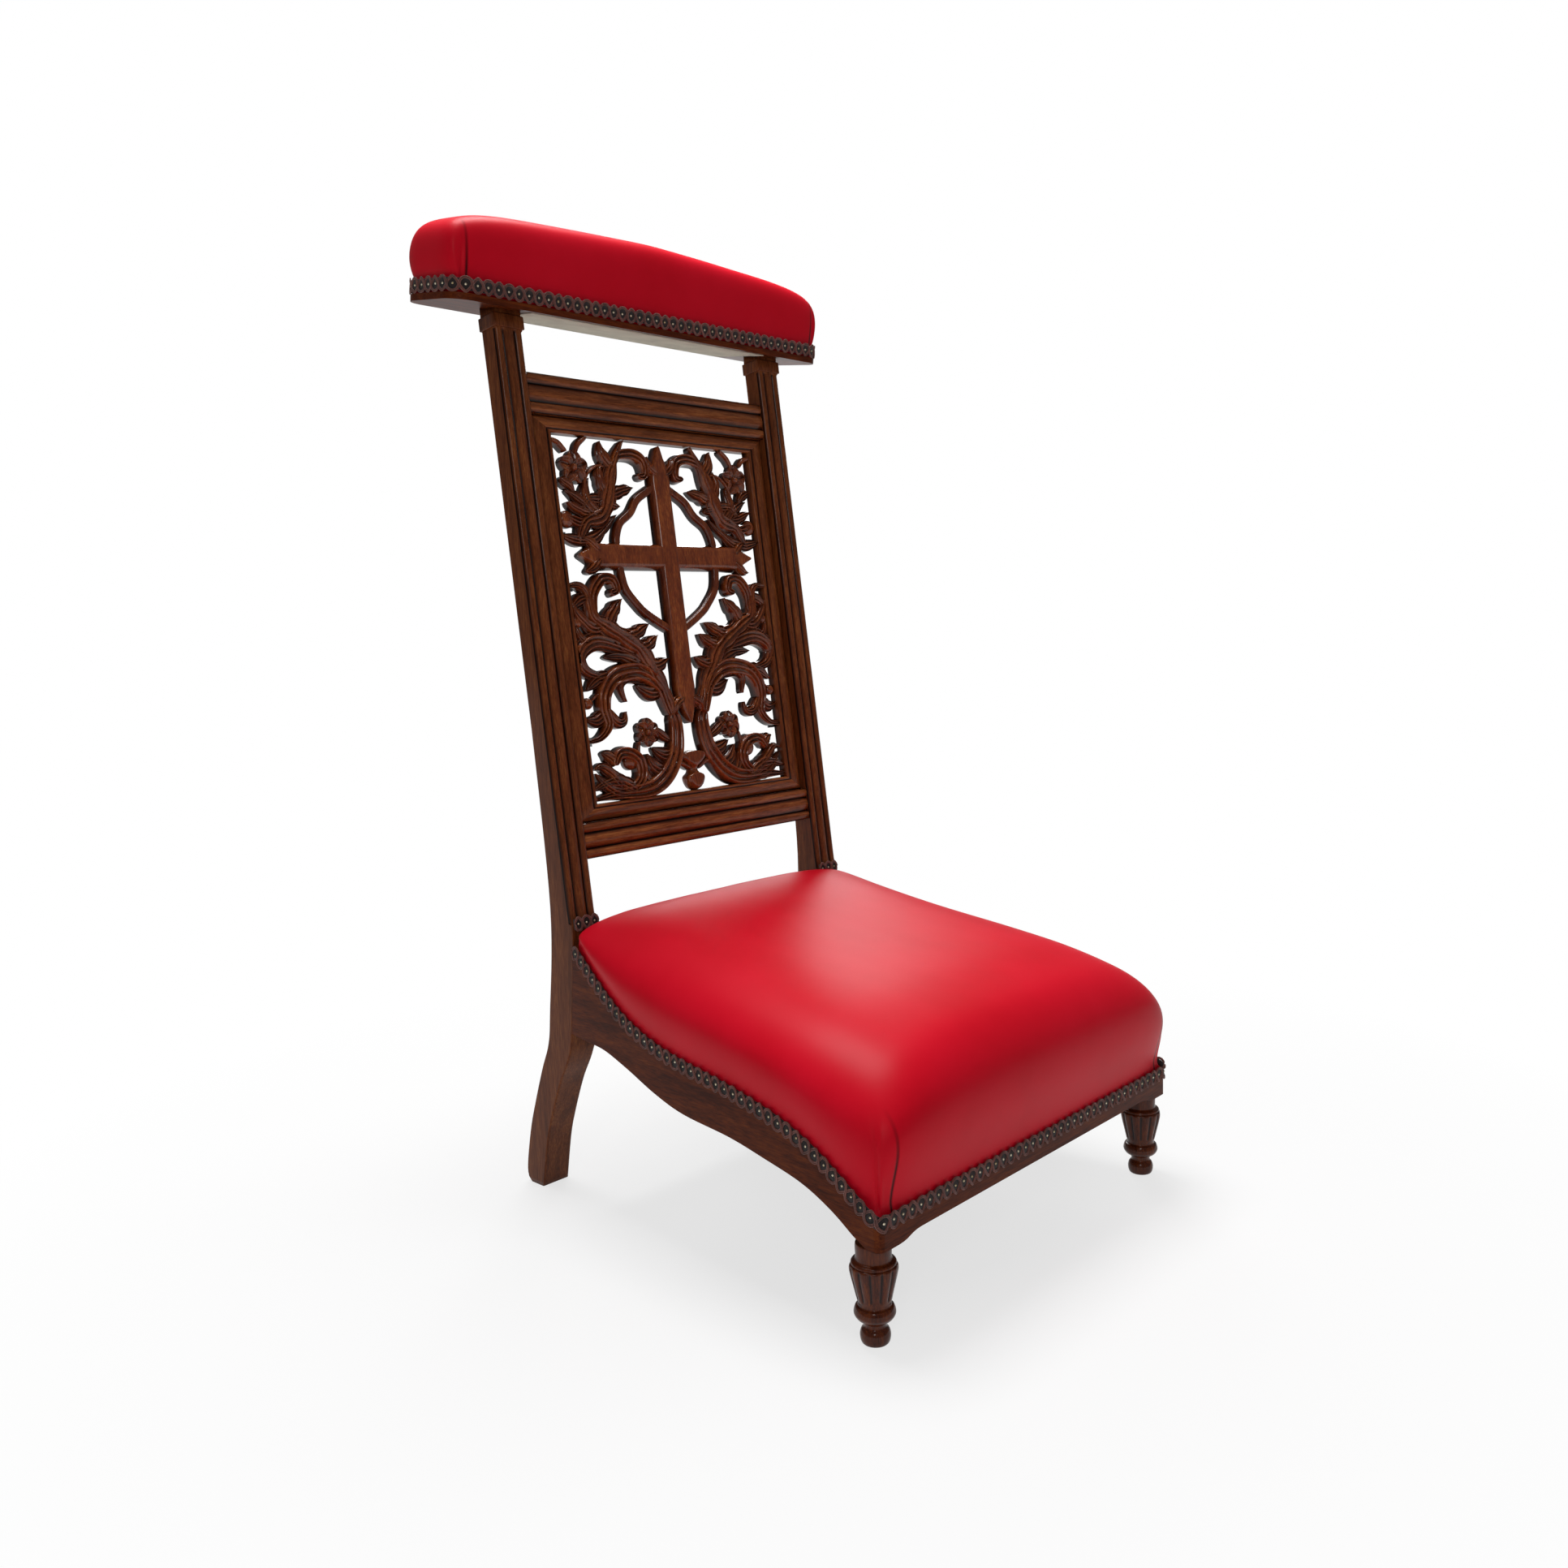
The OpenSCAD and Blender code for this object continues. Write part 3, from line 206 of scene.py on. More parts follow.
def addNode(tree, kind, sockets=None, stops=(), **settings):
    # One shader node with its settings and sockets; stops are a colour ramp's positions and hex colours
    made = tree.nodes.new("ShaderNode" + kind)
    for key, value in settings.items():
        setattr(made, key, value)
    plug(tree, made, sockets or {})
    for _ in stops[2:]:
        made.color_ramp.elements.new(0.5)
    for k, (position, text) in enumerate(stops):
        made.color_ramp.elements[k].position = position
        made.color_ramp.elements[k].color = rgb(text)
    return made


def newMaterial(name, sockets):  # the material, its tree, its surface shader and its Object coordinates
    material = bpy.data.materials.new(name)
    material.use_nodes = True
    tree = material.node_tree
    shader = tree.nodes["Principled BSDF"]
    plug(tree, shader, sockets)
    return material, tree, shader, addNode(tree, "TexCoord").outputs["Object"]


woodTones = {"colours": ("#522812", "#703b1e", "#89512a"), "grainSize": 8 * mm, "stretch": 14}
# this set: a darker copy of the mahogany's tones for the legs, seat rails, rear rail and arm rest's board, painted
# shade on the lower frame
shadedTones = {"colours": ("#3b1508", "#5a260f", "#713714"), "grainSize": 9 * mm, "stretch": 14}
carvedTones = {"colours": ("#5c2612", "#7f3d1b", "#a05a2b"), "grainSize": 10 * mm, "stretch": 6}
railTones = {"colours": ("#5c2e17", "#854826", "#a56436"), "grainSize": 8 * mm, "stretch": 14}
rawTones = {"colours": ("#6d4f2e", "#8b6a42", "#a98757"), "grainSize": 8 * mm, "stretch": 12}


def polishedWood(name, grain, tones, coat=0.02, paintedShading=False):
    # French-polished mahogany: long grain streaks under a thin clear coat, a little darker in the pores
    material, tree, shader, place = newMaterial(name, {
        "Roughness": 0.3, "Specular IOR Level": 0.05, "Coat Weight": coat, "Coat Roughness": 0.12})
    scale = [1 / tones["grainSize"]] * 3
    scale["xyz".index(grain)] /= tones["stretch"]
    turn = (rake if paintedShading or grain == "z" else 0, 0, 0)  # the grain of the back's parts leans with them
    where = addNode(tree, "Mapping", {"Vector": place, "Scale": scale, "Rotation": turn})
    cloud = addNode(tree, "TexNoise", {"Vector": where, "Scale": 1.0, "Detail": 6.0, "Roughness": 0.62,
                                       "Distortion": 0.6})
    pores = addNode(tree, "TexNoise", {"Vector": where, "Scale": 7.0, "Detail": 3.0, "Roughness": 0.7})
    streaks = addNode(tree, "Math", {0: cloud, 1: pores}, operation="MULTIPLY")
    colour = addNode(tree, "ValToRGB", {"Fac": streaks}, [*zip((0.14, 0.27, 0.42), tones["colours"])])
    if paintedShading:  # painted shade in the hollows of the carving, reeds and mouldings, and a painted highlight on their crests, from the values stored at each point
        depth = addNode(tree, "Attribute", attribute_name="paintedShading").outputs["Fac"]
        shade = addNode(tree, "ValToRGB", {"Fac": depth}, [(0.25, "#33231f"), (0.6, "#b8a8a0"), (0.88, "#ffffff")])
        colour = addNode(tree, "Mix", {0: 1.0, 6: colour, 7: shade}, data_type="RGBA", blend_type="MULTIPLY")
    bump = addNode(tree, "Bump", {"Height": pores, "Strength": 0.12, "Distance": 0.3 * mm})
    plug(tree, shader, {"Base Color": colour, "Normal": bump})
    return material


# fold is the colour of the painted shade inside a pleat
leather = {"colours": ("#c4091e", "#cb0b22", "#d00e26"), "fold": "#3c0309", "pore": 0.9 * mm, "crease": 2.4 * mm}


def creased(tree, where, centre, tilt, across, offset, low, high):
    # Mask of a pleat's painted shade and bump: 1 on the upright plane |x| + across * |y - centre| = offset, fading to
    # 0 within a pleat's width of it and from its foot to its tip; tilt turns the whole about the x axis
    moved = addNode(tree, "Mapping", {"Vector": where, "Location": (0, -centre[0], -centre[1])})
    turned = addNode(tree, "Mapping", {"Vector": moved, "Rotation": (-tilt, 0, 0)})
    size = addNode(tree, "VectorMath", {0: turned}, operation="ABSOLUTE")
    along = addNode(tree, "VectorMath", {0: size, 1: (1, across, 0)}, operation="DOT_PRODUCT")
    apart = addNode(tree, "Math", {0: along, 1: offset}, operation="SUBTRACT")
    near = addNode(tree, "Math", {0: apart}, operation="ABSOLUTE")
    line = addNode(tree, "MapRange", {"Value": near, 1: 0.0, 2: leather["crease"], 3: 1.0, 4: 0.0},
                   interpolation_type="SMOOTHSTEP")
    height = addNode(tree, "SeparateXYZ", {0: turned}).outputs["Z"]
    tip = addNode(tree, "MapRange", {"Value": height, 1: low, 2: high, 3: 1.0, 4: 0.0})
    return addNode(tree, "Math", {0: line, 1: tip}, operation="MULTIPLY")


def redLeather(name, crease):
    # Dyed upholstery leather: fine pebbled grain, satin finish, almost even dye, with painted shade inside its pleats
    material, tree, shader, where = newMaterial(name, {
        "Roughness": 0.42, "Specular IOR Level": 0.07, "Coat Weight": 0.02, "Coat Roughness": 0.3})
    cloud = addNode(tree, "TexNoise", {"Vector": where, "Scale": 9.0, "Detail": 4.0, "Roughness": 0.55})
    grain = addNode(tree, "TexVoronoi", {"Vector": where, "Scale": 1 / leather["pore"]}, feature="DISTANCE_TO_EDGE")
    fine = addNode(tree, "TexNoise", {"Vector": where, "Scale": 700.0, "Detail": 3.0})
    dye = addNode(tree, "ValToRGB", {"Fac": cloud}, [*zip((0.3, 0.5, 0.72), leather["colours"])])
    fold = creased(tree, where, *crease)
    # painted shade along each pleat, in the fold colour
    colour = addNode(tree, "Mix", {0: fold, 6: dye, 7: rgb(leather["fold"])}, data_type="RGBA")
    pebbles = addNode(tree, "Math", {0: grain, 1: fine}, operation="ADD")
    height = addNode(tree, "Math", {0: fold, 1: -9.0, 2: pebbles}, operation="MULTIPLY_ADD")
    bump = addNode(tree, "Bump", {"Height": height, "Strength": 0.25, "Distance": 0.12 * mm})
    plug(tree, shader, {"Base Color": colour, "Normal": bump})
    return material


def wovenCloth(name, dark, light, thread, roughness=0.9):
    # Plain weave: two crossed sets of fine threads, rough and slightly fuzzy
    material, tree, shader, where = newMaterial(name, {"Roughness": roughness, "Sheen Weight": 0.2})
    across, along = (addNode(tree, "TexWave", {"Vector": where, "Scale": 0.16 / thread, "Distortion": 0.4},
                             bands_direction=way).outputs["Fac"] for way in "XY")
    both = addNode(tree, "Math", {0: across, 1: along}, operation="MULTIPLY")
    cloud = addNode(tree, "TexNoise", {"Vector": where, "Scale": 40.0, "Detail": 4.0})
    tone = addNode(tree, "Math", {0: both, 1: cloud}, operation="ADD")
    colour = addNode(tree, "ValToRGB", {"Fac": tone}, [(0.25, dark), (1.0, light)])
    bump = addNode(tree, "Bump", {"Height": both, "Strength": 0.5, "Distance": thread * 0.4})
    plug(tree, shader, {"Base Color": colour, "Normal": bump})
    return material


def wornMetal(name, dark, light, roughness):
    # Small fittings: bright where rubbed, dull in between
    material, tree, shader, where = newMaterial(name, {"Roughness": roughness, "Metallic": 1.0})
    cloud = addNode(tree, "TexNoise", {"Vector": where, "Scale": 260.0, "Detail": 4.0})
    colour = addNode(tree, "ValToRGB", {"Fac": cloud}, [(0.35, dark), (0.62, light)])
    bump = addNode(tree, "Bump", {"Height": cloud, "Strength": 0.1, "Distance": 0.1 * mm})
    plug(tree, shader, {"Base Color": colour, "Normal": bump})
    return material


woodUp = polishedWood("mahoganyUpright", "z", woodTones, 0.16, paintedShading=True)
woodAcross = polishedWood("mahoganyAcross", "x", railTones, 0.25, paintedShading=True)
woodPlain = polishedWood("mahoganyPlain", "x", shadedTones)
woodDeep = polishedWood("mahoganySide", "y", shadedTones)
woodTurned = polishedWood("mahoganyTurned", "z", shadedTones, 0.35, paintedShading=True)
woodCarved = polishedWood("mahoganyCarved", "z", carvedTones, 0.6, paintedShading=True)
woodRaw = polishedWood("rawBeech", "x", rawTones)
# the seat's pleats stand 19 mm in from its frame's corners, and the arm rest's 238 mm from its middle
seatPleat = dims["backX"] + flare * postFrontY - 19 * mm
seatLeather = redLeather("redHideSeat", ((0, 0), 0, -flare, seatPleat, 150 * mm, 195 * mm))
armMiddle = inArmrest(0, dims["armDepth"] / 2, 0)[1:]
armLeather = redLeather("redHideArmrest", (armMiddle, armTilt, 0, 238 * mm, 30 * mm, 86 * mm))
braidGround = wovenCloth("braidGround", "#0c0606", "#1f0f0e", 0.5 * mm)
braidCord = wovenCloth("burgundyCord", "#2c1210", "#7d463a", 0.35 * mm, 0.7)
brass = wornMetal("dullBrass", "#b8a478", "#f4ead0", 0.5)
steel = wornMetal("drawnSteel", "#5c5f63", "#a9acb0", 0.35)
jute = wovenCloth("juteWeave", "#6a5636", "#a68d62", 1.4 * mm)
creamCloth = wovenCloth("creamLining", "#8f8674", "#cfc7b2", 0.6 * mm)
blackCloth = wovenCloth("blackLining", "#141213", "#332f2e", 0.6 * mm)
print("stage: materials made")


# ---- frame nodes kept as they are, with their material

for material, names in (
    (woodPlain, ["rear_rail"]), (woodRaw, ["corner_blocks", "rail_dowels"]), (jute, ["seat_webbing", "seat_hessian"]),
    (steel, ["panel_clips", "corner_block_screws", "armrest_screws", "seat_springs"]),
    (blackCloth, ["seat_dust_cloth"]), (creamCloth, ["armrest_bottom_cloth"]),
):
    for name in names:
        nodes[name].data.materials.clear()
        nodes[name].data.materials.append(material)


# ---- joinery: the frame's solids with their arrises eased

arris = {"merge": 0.02 * mm, "segments": 2, "limit": 35}  # the limit in degrees


def eased(name, node, material, width):  # a copy of the solid, its loose triangles merged and its arrises rounded
    mesh = nodes[node].data.copy()
    mesh.name = name
    smoothed(mesh, material)
    piece = linked(name, mesh)
    piece.modifiers.new("merge", "WELD").merge_threshold = arris["merge"]
    bevel = piece.modifiers.new("arris", "BEVEL")
    bevel.width, bevel.segments, bevel.angle_limit = width, arris["segments"], math.radians(arris["limit"])
    bpy.context.view_layer.update()
    solid = bpy.data.meshes.new_from_object(piece.evaluated_get(bpy.context.evaluated_depsgraph_get()))
    piece.modifiers.clear()
    piece.data = solid
    smoothed(solid, material)
    weighted(piece)
    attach(piece, "root")
    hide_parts(node)


for name, node, material, width in (
    ("seatRailLeft", "side_rail_left", woodDeep, 1.4), ("seatRailRight", "side_rail_right", woodDeep, 1.4),
    ("seatRailFront", "front_rail", woodPlain, 1.4), ("armrestBoard", "armrest_board", woodPlain, 2.2),
):
    eased(name, node, material, width * mm)


# ---- back posts, rails and mouldings: sections carried along the wood, with round reeds between dark grooves

back = {
    "reeds": (0.28, 0.44, 0.28), "reedDepth": 3 * mm, "reedPoints": 9, "ease": 0.9 * mm, "railSet": 4 * mm,
    "railThick": 18 * mm, "railTop": 834 * mm, "railTopHeight": 40 * mm, "railLow": 348 * mm,
    "railLowHeight": 36 * mm, "footSweep": 104 * mm, "straightFrom": 300 * mm, "seatDepth": 31.8 * mm,
    "midDepth": 25.2 * mm, "topDepth": 23.5 * mm, "midShare": 0.3, "block": 14 * mm, "blockLip": 1.6 * mm,
    "fit": 0.05 * mm, "panelBack": 18.8 * mm, "crest": 7.4 * mm, "fall": 6.3 * mm, "sideMoulding": 26 * mm,
    "topMoulding": 17 * mm,
}
outerX = postInX - back["fit"]  # the moulding's outer edges
outerLow = back["railLow"] + back["railLowHeight"] + back["fit"]
outerHigh = back["railTop"] - back["railTopHeight"] - back["fit"]
reed, ease, panelBack = back["reedDepth"], back["ease"], back["panelBack"]
plainShading = 0.8  # painted shading of plain wood, where 0 is painted shade in a hollow and 1 a painted highlight on a crest


def reedSection(width):
    # Round the wood: across the front each reed is an arc of circle that touches the face in its middle and falls by
    # reed at its edges, then six points go round the back; gives the places across, the falls and the painted shade
    # at each, deepest in the grooves
    across, fall, start = [], [], -width / 2
    for share in back["reeds"]:
        half = share * width / 2
        radius = (half * half + reed * reed) / (2 * reed)
        local = half * np.sin(np.linspace(-np.pi / 2, np.pi / 2, back["reedPoints"])) * 0.995
        across.append(start + half + local)
        fall.append(radius - np.sqrt(radius ** 2 - local ** 2))
        start += 2 * half
    fall, half = np.concatenate(fall), width / 2
    x = np.r_[np.concatenate(across), half, half, half - ease, ease - half, -half, -half]
    return x, fall, np.r_[(fall / reed) ** 1.5 * 0.95, [1 - plainShading] * 6]


def backRail(name, node, low, height):
    # Reeded section round the rail, the same all the way across
    s, fall, dark = reedSection(height)
    thick = back["railThick"]
    v = back["railSet"] + np.r_[fall, reed + ease, thick - ease, thick, thick, thick - ease, reed + ease]
    x = np.linspace(-postInX, postInX, 40)[:, None]
    # painted shade in the grooves between the reeds
    made = Gather().tube(inBack(x, v, low + height / 2 + s), 1 - dark)
    weighted(made.build(name, woodAcross, "wood", node))


backRail("topRail", "top_rail", back["railTop"] - back["railTopHeight"], back["railTopHeight"])
backRail("bottomRail", "bottom_rail", back["railLow"], back["railLowHeight"])

legFrontShares = [[1, 0], [0.908, 0.156], [0.823, 0.247], [0.655, 0.385], [0.49, 0.487], [0.414, 0.579],
                  [0.32, 0.882], [0.344, 1]]
legBackShares = [[1.2, 0], [1.245, 0.012], [1.257, 0.06], [1.167, 0.198], [1.051, 0.313], [0.917, 0.43],
                 [0.801, 0.52], [0.749, 0.627]]


def backPost(name, node, side):
    # Level sections from foot to top: the front edge and the back edge are two smooth curves, with the reeds between
    # the seat's braid and the block; the last section is cut to the slope of the arm rest
    sweep, straight, high = back["footSweep"], back["straightFrom"], dims["armZ"]
    front = smoothLine(legFrontShares, 8) * [sweep, straight] + [rakeY, 0]
    front = np.vstack([front, [rakeAt(high), high]])
    midZ = straight + (high - straight) * back["midShare"]
    rear = [[rakeY + a * sweep, b * straight] for a, b in legBackShares]
    rear += [[rakeAt(straight) + back["seatDepth"], straight], [rakeAt(midZ) + back["midDepth"], midZ]]
    rear = np.vstack([smoothLine(rear, 8), [rakeAt(high) + back["topDepth"], high]])
    reedLow = (dims["braidBackZ"] + 15 * mm) * math.cos(rake)
    reedHigh = high - back["block"] - 1 * mm
    run = 1.5 * mm  # over which the reeds begin and end
    z = np.unique(np.r_[np.linspace(0, straight, 70), np.linspace(straight, high - 2 * mm, 60), reedLow,
                        reedLow + run, reedHigh - run, reedHigh, high])[:, None]
    yFront, yRear = np.interp(z, front[:, 1], front[:, 0]), np.interp(z, rear[:, 1], rear[:, 0])
    amount = np.clip((z - reedLow) / run, 0, 1) * np.clip((reedHigh - z) / run, 0, 1)
    x, fall, dark = reedSection(dims["postWidth"])
    half, faced, number = dims["postWidth"] / 2, len(fall), np.arange(len(x))
    depth = np.r_[fall, reed + ease, 0, 0, 0, 0, reed + ease] * amount
    depth = depth + np.r_[np.maximum(0, np.abs(x[:faced]) - half + ease), ease, -ease, 0, 0, -ease, ease]
    y = np.where((number > faced) & (number < faced + 5), yRear, yFront) + depth
    z = np.where(z >= high - 0.1 * mm, high + (y - armFrontY) * math.tan(armTilt), z)
    # painted shade in the grooves between the reeds, fading where the reeds begin and end; the rest plain
    paintedShadingLevels = np.where(number < faced, 1 - dark * amount, plainShading)
    made = Gather().tube(xyz(side * (postInX + half + x), y, z), paintedShadingLevels)
    # block under the arm rest: the same section a lip larger, without reeds, its edges eased; its painted shading is
    # an even 0.85
    top = high / math.cos(rake)
    low, up, soft = top - back["block"], top - 1.2 * mm, 0.6 * mm
    grow = np.array([[0], [1], [1], [0]]) * 0.5 * mm + back["blockLip"] - 0.5 * mm
    bx = np.array([-1, -0.94, 0.94, 1, 1, -1]) * (half + grow)
    bv = np.hstack([[soft, 0, 0, soft] - grow, [0, 0] + grow + back["topDepth"] - 1 * mm])
    made.tube(inBack(side * (postInX + half + bx), bv, np.array([[low], [low + soft], [up - soft], [up]])), 0.85)
    weighted(made.build(name, woodUp, "wood", node))


backPost("backPostLeft", "back_post_left", -1)
backPost("backPostRight", "back_post_right", 1)


def moulding(name, node, level, sign):
    # Section: a cubic curve rises from the outer edge to a crest and drops over a lip to the panel; ends are mitred
    w, crest = back["topMoulding"] if level else back["sideMoulding"], back["crest"]
    low = crest + back["fall"]
    t, k = np.linspace(0, 1, 14)[:, None], np.arange(4)
    curve = [1, 3, 3, 1] * t ** k * (1 - t) ** (3 - k) @ [
        [0, low], [w * 0.15, low * 0.1 + crest * 0.9], [w * 0.4, crest], [w * 0.72, crest]]
    a = np.linspace(0, np.pi / 2, 6)[1:, None]
    bead = np.hstack([w * 0.84 + w * 0.16 * np.sin(a), crest + 2.2 * mm * (1 - np.cos(a)) + 0.3 * mm])
    groove = [[w * 0.75, crest + 0.6 * mm], [w * 0.79, crest + 1.6 * mm], [w * 0.82, crest + 0.7 * mm]]
    section = np.vstack([curve, groove, bead, [[w, panelBack - 0.5 * mm], [w, panelBack], [0, panelBack]]])
    # painted shading: painted shade by the outer edge, in the groove and down the inner side, and a painted highlight
    # on the crest and the bead
    paintedShadingLevels = np.r_[np.linspace(0.25, 1, 5), [1] * 9, 0.5, 0.1, 0.5, [0.95] * 5, 0.3, plainShading, plainShading]
    inward, v = section.T
    share = inward / w
    if level:
        end = outerX - share * back["sideMoulding"]
        x = np.linspace(-end, end, 30)
        s = outerHigh - inward if sign > 0 else outerLow + inward
    else:
        x = sign * (outerX - inward)
        s = np.linspace(outerLow + share * back["topMoulding"], outerHigh - share * back["topMoulding"], 30)
    made = Gather().tube(inBack(x, v, s), paintedShadingLevels)
    weighted(made.build(name, woodAcross if level else woodUp, "wood", node))


for way, level, sign in (("Top", True, 1), ("Bottom", True, -1), ("Left", False, -1), ("Right", False, 1)):
    moulding("moulding" + way, "panel_moulding_" + way.lower(), level, sign)
print("stage: joinery eased")


# ---- turned and reeded front legs

leg = {"radius": 19.8 * mm, "height": 84 * mm, "reeds": 12, "reedDepth": 0.11, "inset": (16.2 * mm, 20 * mm),
       "reedFrom": 0.44, "reedTo": 0.79, "around": 144}
legShares = [[0, 0], [0.44, 0], [0.58, 0.02], [0.63, 0.083], [0.58, 0.135], [0.47, 0.17], [0.475, 0.2],
             [0.56, 0.235], [0.72, 0.25], [0.84, 0.29], [0.855, 0.325], [0.79, 0.37], [0.69, 0.385], [0.68, 0.41],
             [0.74, 0.46], [0.84, 0.56], [0.94, 0.66], [1, 0.735], [0.985, 0.775], [0.9, 0.79],
             [0.935, 0.8], [0.9, 0.82], [0.76, 0.835], [0.735, 0.86], [0.74, 0.985], [0.6, 1], [0, 1]]


def frontLeg(name, node, side):
    # Lathe surface: radius follows the profile, and over the vase it dips between the reeds like |sin|
    r, share = smoothLine(legShares, 6).T[:, :, None]
    share = np.clip(share, 0, 1)
    a = np.linspace(0, 2 * np.pi, leg["around"], endpoint=False)
    rise = np.clip((share - leg["reedFrom"]) / 0.03, 0, 1) * np.clip((leg["reedTo"] - share) / 0.035, 0, 1)
    dip = rise * (1 - np.abs(np.sin(a * leg["reeds"] / 2)) ** 0.45)
    r = np.maximum(r, 0) * leg["radius"] * (1 - leg["reedDepth"] * dip)
    x = side * (dims["frontX"] - leg["inset"][0]) + r * np.cos(a)
    y = frontY + leg["inset"][1] + r * np.sin(a)
    # painted shade in the dips between the reeds
    Gather().tube(xyz(x, y, share * leg["height"]), 1 - 0.9 * dip).build(name, woodTurned, "wood", node)


frontLeg("frontLegLeft", "front_leg_left", -1)
frontLeg("frontLegRight", "front_leg_right", 1)
print("stage: legs turned")


# ---- carved panel: each stroke of the design is a band swept along a smooth line with a carved section

panel = {"fuller": 1.45, "thick": 12 * mm, "proud": 3.4 * mm, "foot": 0.5 * mm, "steps": 6, "across": 21}
openX = outerX - back["sideMoulding"]
openLow = outerLow + back["topMoulding"]
openHigh = outerHigh - back["topMoulding"]
limitX = openX - back["fit"]
carveUnit = openX / 100  # shares below are percent of the opening's half width


# each section gives the height of the carving's front at u, which runs from -1 to 1 across a band

def leaf(u):  # ridges along it at its middle, half way out and at its turned-up edge
    return 1.02 - 0.24 * (1 - np.cos(4 * np.pi * np.abs(u))) - 0.16 * u * u + 0.06 * np.exp(-(u / 0.1) ** 2)


def scroll(u):  # three round strands with grooves between them, and rounded edges
    return 1.04 - 0.25 * (1 - np.cos(3 * np.pi * np.abs(u))) - 0.3 * np.abs(u) ** 6


def stem(u):  # round
    return 0.45 + 0.5 * np.sqrt(np.maximum(0, 1 - u * u))


def ring(u):  # flat with hollow edges
    return 0.72 - 0.25 * np.clip((np.abs(u) - 0.45) / 0.5, 0, 1) ** 2


def bar(u):  # the cross: flat face between stopped hollow chamfers
    return 1.04 - 0.62 * np.clip((np.abs(u) - 0.66) / 0.34, 0, 1) ** 1.3


def petal(u):  # cupped, with a crease down its middle
    return 0.72 + 0.22 * u * u - 0.25 * np.exp(-(u / 0.12) ** 2) + 0.06 * np.cos(14 * u)


def band(made, section, top, swell, widths, shares, lobes=0):
    # Band: across the line u runs from edge to edge, the front stands section(u) of the depth above the back; all but
    # the cross is mirrored
    line = smoothLine(np.reshape(shares, (-1, 2)) * carveUnit, panel["steps"])
    run = runLength(line)
    total = run[-1]
    t = run / total
    if len(widths) == 3:  # ends and middle: width follows half a sine
        middle = widths[1] * (panel["fuller"] if section in (leaf, scroll) else 1)
        w = np.where(t < 0.5, widths[0], widths[2])
        w = w + (middle - w) * np.sin(np.pi * t ** 0.8)
    else:
        w = np.interp(t, np.linspace(0, 1, len(widths)), widths)
    w = w * mm / 2
    if lobes:
        w = w * (1 - 0.34 * (1 - np.abs(np.sin(np.pi * lobes * t)) ** 0.7))
    for rest, wide in ((t, w[0]), (1 - t, w[-1])):  # round ends
        w = w * np.sqrt(1 - np.clip(1 - rest * total / max(wide, 0.1 * mm), 0, 1) ** 2)
    w = w[:, None]
    tangent = unit(np.gradient(line, axis=0))
    u = np.sin(np.linspace(-np.pi / 2, np.pi / 2, panel["across"]))
    lift = smoothLine(np.reshape(swell, (-1, 1)), 24)[:, 0]
    lift = np.interp(t, np.linspace(0, 1, len(lift)), lift)[:, None]
    depth = np.clip(section(u) * lift * top, 0.12, 1.35) * (1 - np.abs(u) ** 14 * 0.35)
    x = line[:, :1] - tangent[:, 1:] * w * u
    s = line[:, 1:] + tangent[:, :1] * w * u
    front = np.clip(panelBack - depth * panel["thick"], panelBack - panel["thick"] - panel["proud"], panelBack)
    foot = panelBack - panel["foot"]  # the painted shade down the sides ends here, and the flat back keeps the wood's own tone
    ends = [-1, -1, 0, 0]
    rim = np.ones((len(t), 1))
    v = np.hstack([np.minimum(front, foot), rim * [foot, panelBack, panelBack, foot]])
    x = np.clip(np.hstack([x, x[:, ends]]), -limitX, limitX)
    s = openLow + np.clip(np.hstack([s, s[:, ends]]), 0, openHigh - openLow)
    # painted shading: the front's depth, so a painted highlight on the crests, and painted shade at the foot of the
    # sides
    for sign in (1,) if section is bar else (1, -1):
        made.tube(inBack(sign * x, v, s), np.hstack([depth, rim * [0, plainShading, plainShading, 0]]))


def dome(made, share, radius, height=0.8):
    # Boss: half an ellipsoid on a short drum, radius and height from a quarter circle
    a = np.linspace(0, 2 * np.pi, 28, endpoint=False)
    q = np.linspace(0, np.pi / 2, 8)
    r = np.r_[1, np.cos(q)][:, None] * radius * mm
    h = np.r_[0, 0.35 + (height - 0.35) * np.sin(q)][:, None]
    for sign in (1, -1):
        x = sign * (share[0] * carveUnit + r * np.cos(a))
        # painted shade at the boss's foot, growing lighter to its top
        made.tube(inBack(np.clip(x, -limitX, limitX), panelBack - h * panel["thick"],
                         openLow + share[1] * carveUnit + r * np.sin(a)), 0.2 + h)


def flower(made, share, petals, radius):  # petals round a boss, each a band from the middle out
    r = radius / (carveUnit / mm)
    for a in np.radians(90 + 360 * np.arange(petals) / petals):
        line = [(share[0] + part * r * math.cos(a + bend), share[1] + part * r * math.sin(a + bend))
                for part, bend in ((0, 0), (0.55, 0.05), (1, 0))]
        band(made, petal, 0.95, (0.75, 1.1, 0.85), (0.3 * radius, 0.95 * radius, 0.45 * radius), line)
    dome(made, share, radius * 0.24, 1.0)


even, falling, arched = (1, 1, 1), (1, 1.05, 0.8), (0.9, 1.1, 0.8)  # how the height swells along a stroke
